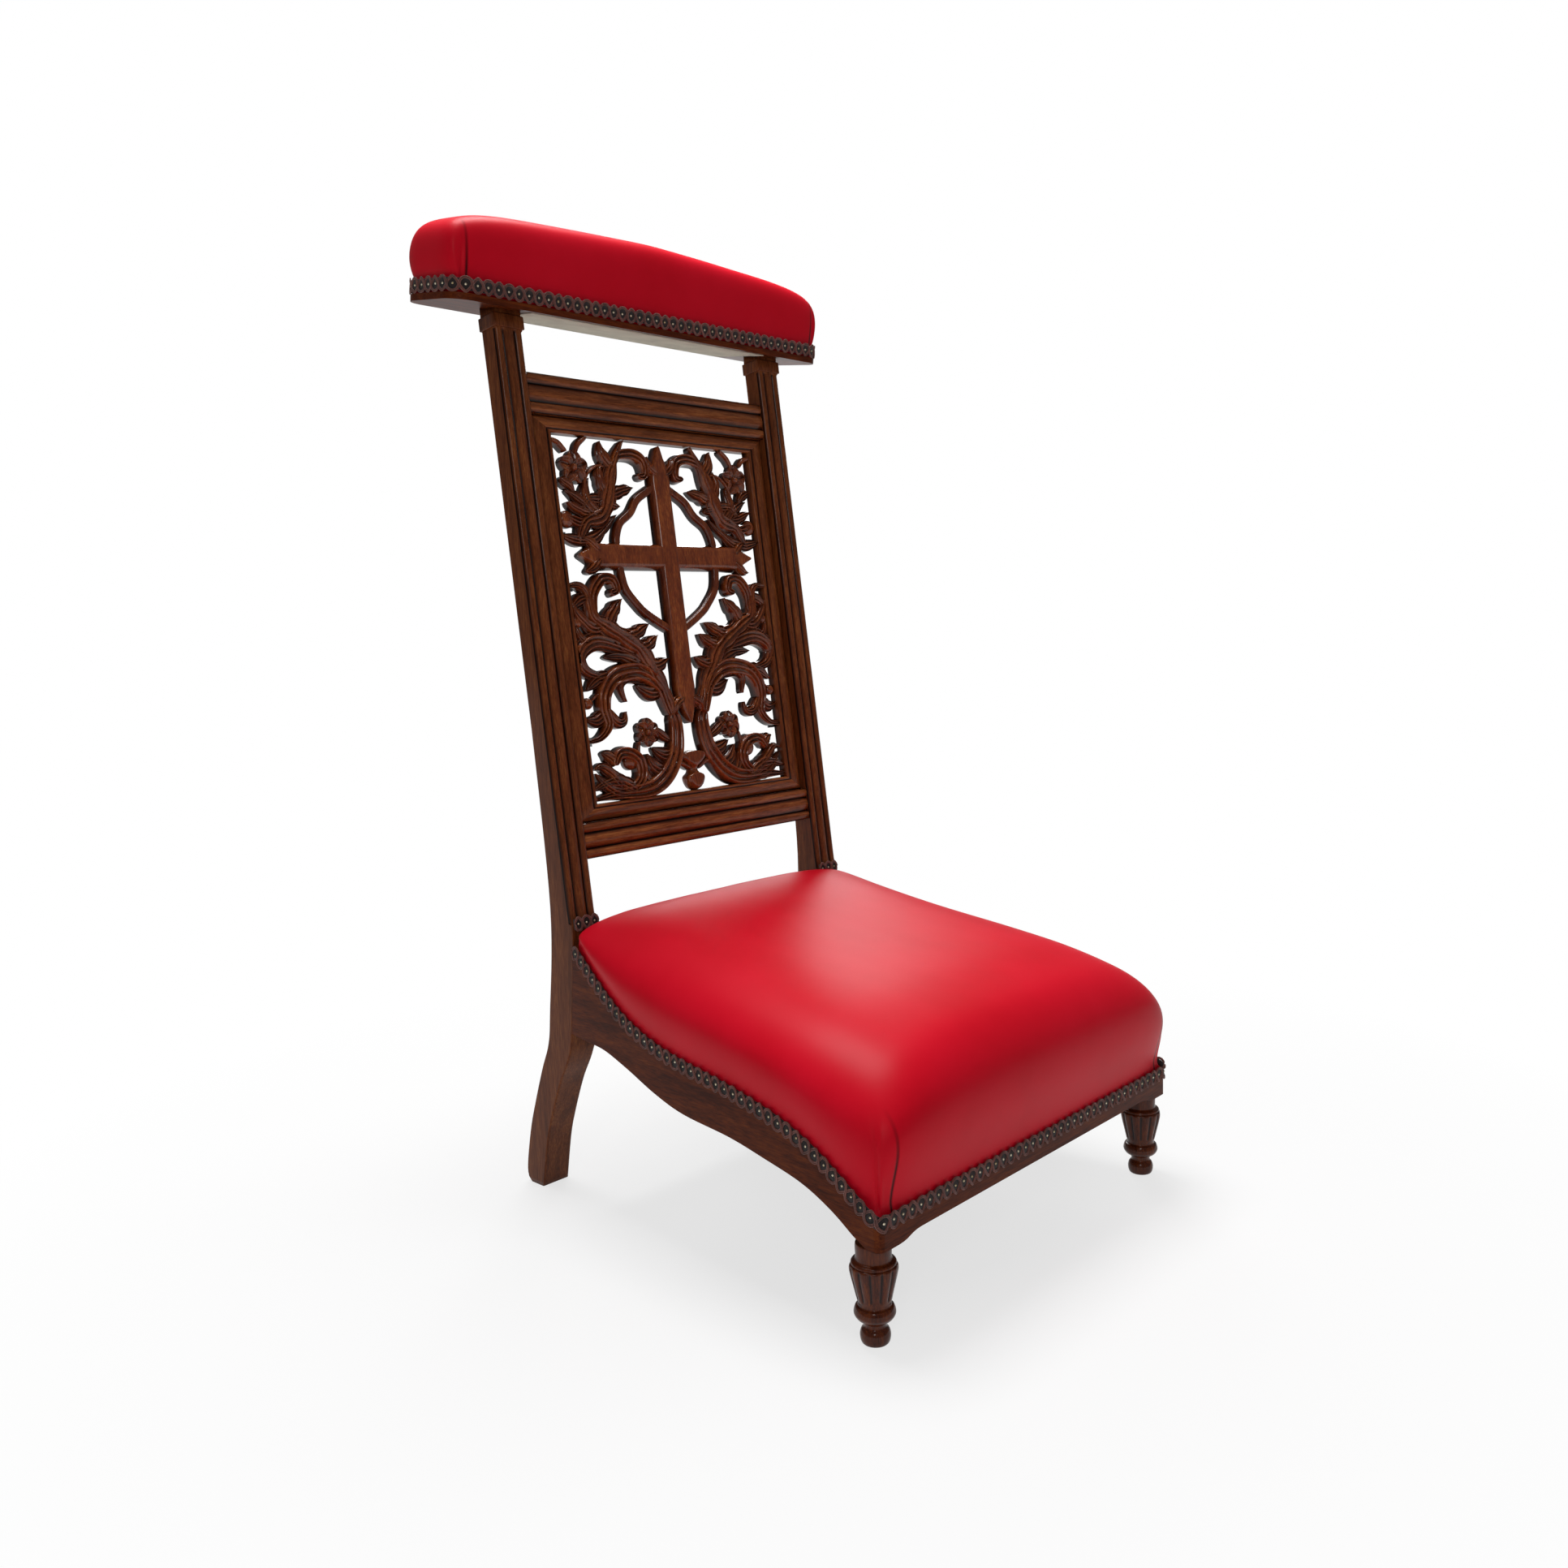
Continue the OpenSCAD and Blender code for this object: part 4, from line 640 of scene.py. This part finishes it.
# section, height, swell, widths in mm, points from the middle of the opening's foot, and lobes
carving = [
    # lobed ring
    (ring, 1, even, (10, 10.5, 10), [6, 235, 14, 231, 25, 224, 33, 214, 44, 206, 49, 196, 50, 188]),
    (ring, 1, even, (10, 10.5, 10), [6, 125, 14, 129, 29, 138, 36, 144, 46, 156, 49, 169, 49, 176]),
    # upper corner leaves
    (leaf, 1.05, (0.8, 1.1, 0.9), (7, 17, 4), [86, 190, 77, 205, 62, 211, 55, 223, 50, 240, 43, 254, 34, 268], 5),
    (leaf, 0.95, (0.9, 1, 0.7), (4, 11, 3), [101, 195, 86, 192, 72, 193, 60, 201, 47, 212], 3),
    (leaf, 0.95, arched, (9, 11, 2), [50, 226, 40, 230, 28, 233], 2),
    (leaf, 0.9, (0.9, 1, 0.8), (7, 8, 2), [54, 222, 49, 219, 43, 218]),
    (scroll, 1, (0.9, 1.1, 1), (5, 10, 7), [45, 252, 38, 257, 26, 258, 17, 253, 16, 243, 23, 242]),
    (leaf, 0.95, arched, (8, 10, 2), [55, 226, 60, 240, 57, 250], 2),
    (leaf, 0.95, (0.9, 1, 0.9), (7, 10, 4), [58, 222, 72, 222, 80, 214], 2),
    (leaf, 1, (0.9, 1.05, 1), (6, 10, 4), [72, 212, 82, 214, 93, 219], 2),
    (scroll, 0.9, (1, 1, 0.9), (6, 8, 6), [93, 208, 84, 205, 77, 206]),
    (stem, 0.85, even, (3, 4.5, 3), [54, 247, 62, 247, 72, 239, 76, 225, 78, 217]),
    (stem, 0.9, even, (5, 7, 4), [68, 268, 76, 262, 80, 254]),
    (stem, 0.9, even, (5, 7, 6), [88, 256, 94, 262, 101, 264]),
    # lower scroll
    (scroll, 1, arched, (17, 16, 4), [17, 62, 14, 54, 15, 40, 19, 28, 28, 16, 40, 8, 54, 5, 78, 5, 101, 3]),
    (stem, 0.8, even, (4, 5, 4), [52, 42, 54, 34, 52, 26]),
    (scroll, 1, (1.1, 1, 0.9), (7, 11, 7), [80, 26, 74, 34, 64, 34, 55, 27, 55, 15, 65, 8, 76, 12]),
    (leaf, 0.95, arched, (10, 12, 3), [76, 27, 84, 34, 89, 36], 2),
    (leaf, 0.95, (0.9, 1.1, 0.9), (8, 11, 4), [72, 8, 80, 18, 90, 26, 97, 25], 2),
    (leaf, 0.9, (1, 1, 0.8), (5, 8, 6), [36, 50, 28, 44, 20, 40]),
    # middle scroll
    (scroll, 1.05, (0.9, 1.12, 0.8), (8, 15, 4),
     [18, 59, 20, 66, 26, 82, 42, 93, 57, 94, 71, 90, 80, 80, 82, 68, 80, 56, 89, 47, 101, 45]),
    (leaf, 0.95, falling, (6, 9, 3), [79, 68, 72, 58, 64, 58, 62, 65]),
    (leaf, 0.95, (0.8, 1, 0.9), (6, 11, 3), [30, 86, 43, 90, 57, 91, 64, 84, 61, 72]),
    # lower acanthus
    (leaf, 1.1, (0.85, 1.12, 0.9), (8, 18, 5),
     [15, 59, 17, 68, 22, 80, 33, 97, 42, 110, 57, 120, 72, 129, 82, 136, 86, 154, 93, 159, 101, 158], 7),
    (leaf, 1, arched, (12, 13, 2), [34, 98, 24, 98, 14, 103], 2),
    (leaf, 1, arched, (12, 13, 2), [43, 110, 32, 114, 22, 121], 2),
    (leaf, 1, arched, (12, 13, 2), [55, 119, 44, 122, 29, 130], 2),
    (leaf, 1, arched, (12, 14, 2), [70, 128, 64, 138, 53, 149], 2),
    (scroll, 1, (0.9, 1.1, 1.1), (6, 10, 8), [80, 138, 80, 152, 71, 163, 61, 163, 58, 155, 64, 153]),
    (leaf, 1, (0.8, 1.1, 0.9), (5, 14, 5), [45, 107, 60, 113, 80, 118, 93, 114, 99, 106, 95, 97, 85, 93, 74, 94]),
    (leaf, 0.9, (0.9, 1, 0.8), (8, 8, 4), [86, 116, 95, 121, 98, 130]),
    (stem, 0.8, even, (3, 4, 3), [80, 80, 86, 79, 92, 75]),
    (stem, 0.9, even, (6, 8, 6), [92, 117, 97, 112, 101, 110]),
    (stem, 0.85, even, (6, 7, 6), [4, 17, 14, 22, 22, 20]),
    # frills on the scrolls
    (leaf, 0.85, falling, (8, 12, 3), [20, 30, 30, 30, 40, 36]),
    (leaf, 0.85, falling, (9, 13, 3), [29, 17, 40, 22, 46, 32]),
    (leaf, 0.8, falling, (8, 11, 3), [44, 8, 50, 16, 50, 26]),
    (leaf, 0.95, (1, 1.1, 0.8), (9, 13, 4), [60, 6, 74, 14, 88, 14, 100, 10], 3),
    (leaf, 0.85, (1, 1.1, 0.8), (7, 12, 3), [66, 5, 82, 8, 97, 22], 2),
    (leaf, 0.85, falling, (8, 13, 3), [24, 78, 36, 78, 48, 84]),
    (leaf, 0.9, (1, 1.1, 0.8), (8, 12, 3), [70, 91, 84, 90, 96, 82], 2),
    (leaf, 0.9, falling, (8, 11, 3), [81, 66, 90, 60, 99, 62]),
    (leaf, 0.9, falling, (8, 13, 4), [30, 92, 44, 100, 60, 106, 76, 106], 3),
    (leaf, 0.95, falling, (8, 13, 3), [72, 129, 84, 128, 95, 138, 100, 148], 2),
    (leaf, 0.9, falling, (6, 10, 3), [84, 150, 92, 148, 100, 142]),
    (leaf, 0.85, falling, (8, 12, 3), [62, 211, 74, 224, 70, 238], 2),
    (leaf, 0.85, falling, (8, 12, 3), [66, 208, 80, 222, 92, 228], 2),
    (leaf, 0.95, falling, (7, 12, 3), [46, 246, 54, 256, 56, 266]),
    (leaf, 0.85, falling, (6, 9, 3), [96, 236, 88, 232, 84, 226]),
    # leaves on the cross
    (leaf, 1.1, (1, 1.1, 0.9), (5, 9, 3), [70, 184, 77, 191, 83, 193]),
    (leaf, 1.1, (1, 1.1, 0.9), (5, 9, 3), [70, 178, 77, 171, 83, 169]),
    (leaf, 1.1, (1, 1.1, 0.9), (5, 9, 3), [4, 244, 11, 250, 13, 257]),
    (leaf, 1.1, (1, 1.1, 0.9), (5, 9, 3), [4, 72, 12, 67, 14, 60]),
    # the cross
    (bar, 1, even, [3, 17, 27, 31] + [28.5] * 16 + [31, 27, 15, 3],
     [0, 52, 0, 60, 0, 80, 0, 120, 0, 160, 0, 200, 0, 240, 0, 252, 0, 266]),
    (bar, 0.97, even, [3, 16, 31, 30] + [28.5] * 16 + [30, 31, 16, 3],
     [-88, 181, -80, 181, -60, 181, -20, 181, 20, 181, 60, 181, 80, 181, 88, 181]),
]
buds = [((93, 207), 9), ((62, 28), 9.5), ((96, 132), 6), ((95, 73), 6)]  # place and radius in mm
blossoms = [((82, 245), 5, 18), ((43, 48), 6, 15.5)]  # place, number of petals and radius in mm
pendantShares = [[0.01, -1], [6, 2], [9, 7], [9, 11], [5, 14], [5, 18], [12, 25], [11, 29], [0.01, 31]]


def carvedPanel():
    made = Gather()
    for stroke in carving:
        band(made, *stroke)
    for share, radius in buds:
        dome(made, share, radius)
    for share, petals, radius in blossoms:
        flower(made, share, petals, radius)
    # Pendant: half-turned drop, its width from the profile and its depth from half a circle
    profile = smoothLine(pendantShares, 6) * carveUnit
    a = np.linspace(0, np.pi, 15)
    x = profile[:, :1] * np.cos(a)
    v = panelBack - 0.25 * panel["thick"] - np.minimum(profile[:, :1] * np.sin(a), 0.75 * panel["thick"])
    v = np.pad(v, ((0, 0), (0, 2)), constant_values=panelBack)
    made.tube(inBack(np.hstack([x, x[:, [-1, 0]]]), v, openLow + np.maximum(profile[:, 1:], 0)), plainShading)
    made.build("carvedPanel", woodCarved, "carved_wood", "carved_panel")


carvedPanel()
print("stage: panel carved")


# ---- the seat's outline

# shares of the depth and of the height
braidLine = smoothLine([[0, 1], [0.06, 0.865], [0.13, 0.73], [0.21, 0.6], [0.31, 0.505], [0.41, 0.455], [0.57, 0.405],
                        [0.68, 0.355], [0.76, 0.305], [0.84, 0.225], [0.91, 0.125], [0.96, 0.05], [1, 0]], 12)
crownLine = smoothLine([[0, 1], [0.3, 0.928], [0.5, 0.88], [0.75, 0.826], [0.9, 0.792], [1.02, 0.79]], 12)


def depthShare(y):  # 0 at the posts' fronts and 1 at the front of the seat frame
    return (postFrontY - y) / dims["seatDepth"]


def frameX(y):  # half width of the seat frame
    return dims["backX"] + (dims["frontX"] - dims["backX"]) * np.maximum(0, depthShare(y))


def braidZ(y):  # height of the braid's middle line
    share = np.interp(depthShare(y), braidLine[:, 0], braidLine[:, 1])
    return dims["braidFrontZ"] + (dims["braidBackZ"] - dims["braidFrontZ"]) * share


def crownAt(y):  # height of the seat's crown
    return dims["crownZ"] * np.interp(depthShare(y), crownLine[:, 0], crownLine[:, 1])


# ---- cushions

def roundUnit(a, power):  # rounded unit outline at angle a: across from -1 to 1, and up from 0 to 1
    c, s = np.cos(a), np.sin(a)
    r = (np.abs(c) ** power + np.abs(s) ** power) ** (1 / power)
    return -c / r, s / r


def padGrid(pad):  # u across and v along from -1 to 1, and the share of the height that both outlines give
    u, up = roundUnit(np.linspace(0, np.pi, pad["n"])[:, None], pad["powerX"])
    v, fore = roundUnit(np.linspace(0, np.pi, pad["m"]), pad["powerY"])
    return *np.broadcast_arrays(u, v), up * fore


def ripple(x, y, seed):  # slow hand-stretched unevenness, a sum of four plane waves
    rng = np.random.default_rng(seed)
    total = 0
    for k in range(4):
        fx, fy = rng.normal(0, 1, 2) * (14 + 12 * k)
        total = total + np.sin(fx * x + fy * y + rng.uniform(0, 6.28)) / (1 + k)
    return total / 2


def pleatFade(c, tip):  # a pleat starts at the braid and has gone at the share tip of the height
    return np.clip(c / 0.08, 0, 1) * np.clip((tip - c) / 0.3, 0, 1)


seatPad = {"powerX": 4, "powerY": 7, "side": 7 * mm, "front": 14 * mm, "cornerPull": 2.2 * mm, "cornerRound": 7 * mm,
           "rimGap": 0.9 * mm, "leather": 4 * mm, "n": 150, "m": 170, "backGap": 3.3 * mm, "ripple": 0.5 * mm,
           "seed": 3, "pleat": 2.2 * mm, "pleatWidth": 2.4 * mm, "roll": 0.9 * mm, "rollWidth": 3 * mm, "tip": 0.66,
           "swellFrom": 8.5 * mm, "bottomFront": 186.038 * mm, "bottomRise": 75 * mm}
seatBackY = rakeAt(dims["braidBackZ"]) - seatPad["backGap"]
seatMidY = (frontY + seatPad["rimGap"] + seatBackY) / 2
seatHalf = (seatBackY - frontY - seatPad["rimGap"]) / 2


def seatSurface(inset):
    # Crowned cover: rounded outlines across and along multiply into one height, the rim follows the braid, and the
    # sides swell by half a sine that starts above the braid
    gap = seatPad["rimGap"]
    u, v, c = padGrid(seatPad)
    y = seatMidY + (seatHalf - inset) * v
    h = crownAt(y) - inset - braidZ(y)
    corner = np.abs(u * v) ** 12 * (seatPad["cornerPull"] + inset / 4)
    corner = corner + np.abs(u * v) ** 8 * seatPad["cornerRound"] * np.sin(np.pi * np.clip(c, 0, 1) ** 0.7) * (v < 0)
    low = seatPad["swellFrom"] / h
    out = np.where(c <= low, 0, np.sin(np.pi * np.clip((c - low) / (1 - low), 0, 1)) ** 1.25)
    x = u * (frameX(y) - gap - inset) + np.sign(u) * (seatPad["side"] * out * u ** 12 - corner)
    z = braidZ(y) + gap + h * c
    return x, y - np.sign(v) * corner - np.where(v < 0, seatPad["front"] * out * v ** 12, 0), z, u, v, c


def seatCushion():
    x, y, z, u, v, c = seatSurface(0)
    z = z + seatPad["ripple"] * ripple(x, y, seatPad["seed"]) * np.clip(c * 3, 0, 1) * np.clip(4 * (1 - c), 0.35, 1)
    # a pleat up each front corner, with a small roll of hide beside it
    gap = frameX(y) - np.abs(x) - (y - frontY)
    fold = (seatPad["roll"] * np.exp(-((gap - 4 * mm) / seatPad["rollWidth"]) ** 2)
            - seatPad["pleat"] * np.exp(-(gap / seatPad["pleatWidth"]) ** 2)) * (v < 0) * pleatFade(c, seatPad["tip"])
    top = xyz(x + np.sign(u) * fold * 0.7, y - fold * 0.7, z)
    # underside: the hide's inner face at the rails, the stuffing's flat bottom inside them
    x, y, z = seatSurface(seatPad["leather"])[:3]
    edge = dims["railThick"] + 1 * mm
    floor = seatPad["bottomFront"] + seatPad["bottomRise"] * (y - frontY) / dims["seatDepth"]
    inside = (np.abs(x) < frameX(y) - edge) & (y > frontY + edge)
    made = Gather().shell(top, xyz(x, y, np.where(inside, np.minimum(floor, z), z)))
    made.build("seatCushion", seatLeather, "red_leather", "seat_cover", "seat_stuffing")


armPad = {"powerX": 9, "powerY": 5, "endPower": 1.5, "endBulge": 4.4 * mm, "backBulge": 5 * mm, "pull": 5.6 * mm,
          "inset": 3.4 * mm, "leather": 4 * mm, "lip": 6.3 * mm, "rimGap": 0.3 * mm, "crown": 91 * mm,
          "ends": 81 * mm, "n": 230, "m": 90, "boardTop": 14 * mm, "boardRim": (20.4 * mm, 17 * mm),
          "ripple": 0.45 * mm, "seed": 8, "pleat": 1.8 * mm, "pleatAt": 3 * mm, "pleatWidth": 2.2 * mm, "tip": 0.8}
armMid = dims["armDepth"] / 2


def armSurface(inset):
    # Roll: a squarish outline along, a rounder one across, higher in the middle than at its ends
    u, v, c = padGrid(armPad)
    edge = armPad["inset"] + inset
    pull = armPad["pull"] * np.abs(u) ** 12 * np.abs(v) ** 4
    out = np.sin(np.pi * np.clip((c - 0.2) / 0.8, 0, 1) ** 0.8)
    x = u * (armHalf - edge) + np.sign(u) * (armPad["endBulge"] * out * np.abs(u) ** 8 - pull)
    w = armMid + v * (armMid - edge) - np.sign(v) * pull + np.where(v > 0, armPad["backBulge"] * out * v ** 6, 0)
    rim = armPad["lip"] + armPad["rimGap"]
    tall = armPad["crown"] + (armPad["ends"] - armPad["crown"]) * np.abs(u) ** armPad["endPower"] - inset - rim
    return x, w, rim + tall * c, u, v, c


def armCushion():
    x, w, z, u, v, c = armSurface(0)
    z = z + armPad["ripple"] * ripple(x, w, armPad["seed"]) * np.clip(c * 3, 0, 1)
    # a pleat up each corner
    gap = armHalf - np.abs(x) - np.minimum(w, dims["armDepth"] - w)
    fold = armPad["pleat"] * np.exp(-((gap - armPad["pleatAt"]) / armPad["pleatWidth"]) ** 2) * (np.abs(u) > 0.85)
    fold = fold * pleatFade(c, armPad["tip"]) * 0.7
    top = inArmrest(x - np.sign(u) * fold, w - np.sign(v) * fold, z)
    x, w, z = armSurface(armPad["leather"])[:3]
    rimX, rimW = armPad["boardRim"]
    inside = (np.abs(x) < armHalf - rimX) & (np.abs(w - armMid) < armMid - rimW)
    z = np.where(inside, np.minimum(z, armPad["boardTop"] + armPad["rimGap"]), z)
    made = Gather().shell(top, inArmrest(x, w, z))
    made.build("armrestCushion", armLeather, "red_leather", "armrest_cover", "armrest_stuffing")


seatCushion()
armCushion()
print("stage: cushions covered")


# ---- scroll braid: a woven tape with looping double cords, and a small brass pin in each loop

braid = {"height": 15 * mm, "tape": 0.8 * mm, "tapeHeight": 10.5 * mm, "pitch": 11.6 * mm, "gap": 0.1 * mm,
         "cord": 1.35 * mm, "swing": 6.4 * mm, "lean": 1.5 * mm, "perMotif": 11, "pinRadius": 1.1475 * mm,
         "postLift": 6 * mm, "postEnd": 2 * mm, "postFront": 1.4 * mm, "armRadius": 22 * mm, "armInset": 1.3 * mm}


def layBraid(name, path, out, nodeNames=(), pinNodes=()):
    run = runLength(path)
    total = run[-1]
    count = max(2, round(total / braid["pitch"]))
    pitch = total / count
    along = unit(np.gradient(path, axis=0))
    normal = unit(out - (out * along).sum(-1, keepdims=True) * along)
    side = np.cross(normal, along)

    axes = np.hstack([path, side, normal])

    def onTrim(s, across, lift):  # flat braid coordinates (s along, across, lift off the wood) set on the path
        s, across, lift = np.broadcast_arrays(s, across, lift)
        start, side, normal = np.split(atLength(run, axes, s), 3, -1)
        return start + side * across[..., None] + normal * (lift + braid["gap"])[..., None]

    s = np.linspace(0, total, count * 4)[:, None]
    across = np.array([-1, -1, -0.93, 0, 0.93, 1, 1, 0]) * braid["tapeHeight"] / 2
    tape = Gather().tube(onTrim(s, across, np.array([0, 0.6, 1, 1, 1, 0.6, 0, 0]) * braid["tape"]))
    tape.build(name + "Tape", braidGround, "braid", *nodeNames)
    # Two strands swing across the tape like |sin|^0.75 in opposite phase and cross between the pins; each is a pair
    # of round cords side by side, one strand over and the other under at every crossing
    cords = Gather()
    r = braid["cord"] / 2
    phi = np.linspace(0, count, count * braid["perMotif"] + 1) * np.pi
    a = np.linspace(-0.5, np.pi + 0.5, 5)
    ribX = np.r_[(-r - r * np.cos(a)) * 0.96, (r - r * np.cos(a)) * 0.96, 1.6 * r, -1.6 * r]
    ribZ = np.r_[np.sin(a) * r, np.sin(a) * r, -0.8 * r, -0.8 * r]
    for sign in (-1, 1):
        swing = -sign * np.sin(phi)
        cx = phi * pitch / np.pi + braid["lean"] * np.sin(2 * phi) * sign * 0.5
        cy = braid["swing"] * np.sign(swing) * np.abs(swing) ** 0.75
        tx, ty = unit(np.gradient(np.stack([cx, cy], -1), axis=0)).T[:, :, None]
        sx = np.clip(cx[:, None] - ty * ribX, 0, total)
        sy = np.clip(cy[:, None] + tx * ribX, -braid["height"] / 2, braid["height"] / 2)
        rise = braid["tape"] + r * (0.95 + 0.75 * np.cos(phi) * sign)
        cords.tube(onTrim(sx, sy, rise[:, None] + ribZ))
    cords.build(name + "Cords", braidCord, "braid")
    pins = Gather()
    q = np.linspace(np.pi / 2, 0, 4)[:, None]
    a = np.linspace(0, 2 * np.pi, 10, endpoint=False)
    r = braid["pinRadius"]
    for k in range(count):  # each a low dome, three quarters as high as its radius
        pins.tube(onTrim((k + 0.5) * pitch + r * np.cos(q) * np.cos(a), r * np.cos(q) * np.sin(a),
                         braid["tape"] + r * 0.75 * np.sin(q)))
    pins.build(name + "Pins", brass, "brass", *pinNodes)


def seatBraid():
    # Along the left rail, round a quarter circle at the corner, across the front, and the same mirrored
    r, count = dims["cornerRadius"], 58
    y = np.linspace(rakeAt(dims["braidBackZ"]), frontY + r, 160)
    a = np.linspace(0, np.pi / 2, 12)[1:]
    cx = frameX(frontY + r) - r
    half = np.vstack([xyz(frameX(y), y, braidZ(y)),
                      xyz(cx + r * np.cos(a), frontY + r - r * np.sin(a), dims["braidFrontZ"])])
    half[:, 2] = np.convolve(np.pad(half[:, 2], 6, mode="edge"), np.ones(13) / 13, "valid")  # smooths its height
    outHalf = np.vstack([np.tile(unit(np.array([1, flare, 0])), (len(y), 1)), xyz(np.cos(a), -np.sin(a), 0)])
    middle = xyz(np.linspace(cx, -cx, count + 2)[1:-1], frontY, dims["braidFrontZ"])
    outMiddle = np.tile([0, -1, 0], (count, 1))
    flip = np.array([-1, 1, 1])
    layBraid("seatBraid", np.vstack([half, middle, (half * flip)[::-1]]),
             np.vstack([outHalf, outMiddle, (outHalf * flip)[::-1]]),
             ["seat_braid_left", "seat_braid_right", "seat_braid_front"], ["seat_braid_pins"])


def postBraid():  # a short length across the front of each post, above the seat's corner
    z = (dims["braidBackZ"] + 0.3 * mm) / math.cos(rake) + braid["height"] / 2 + braid["postLift"]
    x = np.linspace(postInX, dims["backX"] - braid["postEnd"], 12)
    out = np.tile(inBack(0, -1, 0) - inBack(0, 0, 0), (len(x), 1))
    layBraid("postBraidLeft", inBack(-x, -braid["postFront"], z), out, ["seat_braid_posts"])
    layBraid("postBraidRight", inBack(x[::-1], -braid["postFront"], z), out)


def armBraid():
    # Round the board: a rectangle with quarter circles at its corners, its points then spaced evenly
    inset = braid["armInset"]
    r = braid["armRadius"] - inset
    cx, cy = armHalf - inset - r, armMid - inset - r
    a = np.linspace(0, np.pi / 2, 10) + np.arange(4)[:, None] * np.pi / 2
    x = np.array([[cx], [-cx], [-cx], [cx]]) + r * np.cos(a)
    y = np.array([[cy], [cy], [-cy], [-cy]]) + r * np.sin(a)
    line = np.stack([x, y, np.cos(a), np.sin(a)], -1).reshape(-1, 4)
    line = np.vstack([line, line[:1]])[::-1]
    run = runLength(line[:, :2])
    x, y, outX, outY = atLength(run, line, np.linspace(0, run[-1], 500)).T
    path = inArmrest(x, armMid + y, armPad["lip"] + braid["height"] / 2)
    out = inArmrest(outX, outY, 0) - inArmrest(0, 0, 0)
    layBraid("armrestBraid", path, unit(out), ["armrest_braid"], ["armrest_braid_pins"])


seatBraid()
postBraid()
armBraid()
print("stage: braid laid")


# ---- floor, lights and camera

view = {"place": (-985.9 * mm, frontY - 628.2 * mm, 563.7 * mm), "yaw": -46.886, "pitch": -6.805, "roll": -1.885,
        "lens": 30.667, "shift": (-0.00416, 0.00479), "far": 50}
studio = {"floorHalf": 12, "floorDrop": 0.2 * mm, "floorTone": 0.78, "world": 0.2,
          "fadeFrom": 0.25, "fadeTo": 0.95, "near": 0.7}  # the floor's white grows from near, with the distance


def addCamera():
    data = bpy.data.cameras.new("camera")
    data.lens, data.clip_end = view["lens"], view["far"]
    data.shift_x, data.shift_y = view["shift"]
    camera = linked("camera", data)
    camera.matrix_world = Matrix.Translation(view["place"])
    for key, start, axis in (("yaw", 0, "Z"), ("pitch", 90, "X"), ("roll", 0, "Z")):
        camera.matrix_world @= Matrix.Rotation(math.radians(start + view[key]), 4, axis)
    bpy.context.scene.camera = camera


def addFloor():
    # Matte paper sweep: pale, and near white to the camera except where the object's shadow falls
    material, tree, shader, place = newMaterial("paleFloor", {
        "Roughness": 0.9, "Base Color": (*[studio["floorTone"]] * 3, 1)})
    glow = addNode(tree, "Emission", {"Color": (1, 1, 1, 1), "Strength": 1.0})
    rays = addNode(tree, "LightPath").outputs
    away = addNode(tree, "VectorMath", {0: place}, operation="LENGTH")
    fade = addNode(tree, "MapRange", {"Value": away, 1: studio["fadeFrom"], 2: studio["fadeTo"], 3: studio["near"],
                                      4: 1.0})
    direct = addNode(tree, "Math", {0: rays["Is Camera Ray"], 1: rays["Is Glossy Ray"]}, operation="MAXIMUM")
    seen = addNode(tree, "Math", {0: direct, 1: fade}, operation="MULTIPLY")
    blend = addNode(tree, "MixShader", {0: seen, 1: shader, 2: glow})
    plug(tree, tree.nodes["Material Output"], {"Surface": blend})
    g = np.linspace(-studio["floorHalf"], studio["floorHalf"], 5)
    points = xyz(g[:, None], g, -studio["floorDrop"]).reshape(-1, 3)
    addMesh("floor", points, gridFaces(5, 5), material)


def addLight(name, place, target, size, power):
    data = bpy.data.lights.new(name, "AREA")
    data.shape, data.size, data.size_y, data.energy = "RECTANGLE", *size, power
    lamp = linked(name, data)
    lamp.location = place
    lamp.rotation_euler = (Vector(target) - Vector(place)).to_track_quat("-Z", "Y").to_euler()


def addWorld():  # soft light all round, which the camera sees as plain white
    world = bpy.data.worlds.new("studio")
    bpy.context.scene.world = world
    world.use_nodes = True
    tree = world.node_tree
    dim = tree.nodes["Background"]
    plug(tree, dim, {"Color": (1, 1, 1, 1), "Strength": studio["world"]})
    white = addNode(tree, "Background", {"Color": (1, 1, 1, 1), "Strength": 1.0})
    seen = addNode(tree, "LightPath").outputs["Is Camera Ray"]
    plug(tree, tree.nodes["World Output"], {"Surface": addNode(tree, "MixShader", {0: seen, 1: dim, 2: white})})


addCamera()
addFloor()
addLight("ceilingPanel", (0.1, 0.35, 2.3), (0, 0, 0.4), (1.0, 1.0), 51)
addLight("windowLeft", (-2.2, -1.6, 1.6), (0, 0, 0.5), (0.5, 0.8), 11)
addLight("windowBehind", (1.9, 1.7, 1.5), (0, 0, 0.5), (1.0, 1.0), 19)
addWorld()
bpy.context.scene.view_settings.view_transform = "Standard"
print("stage: stage lit")
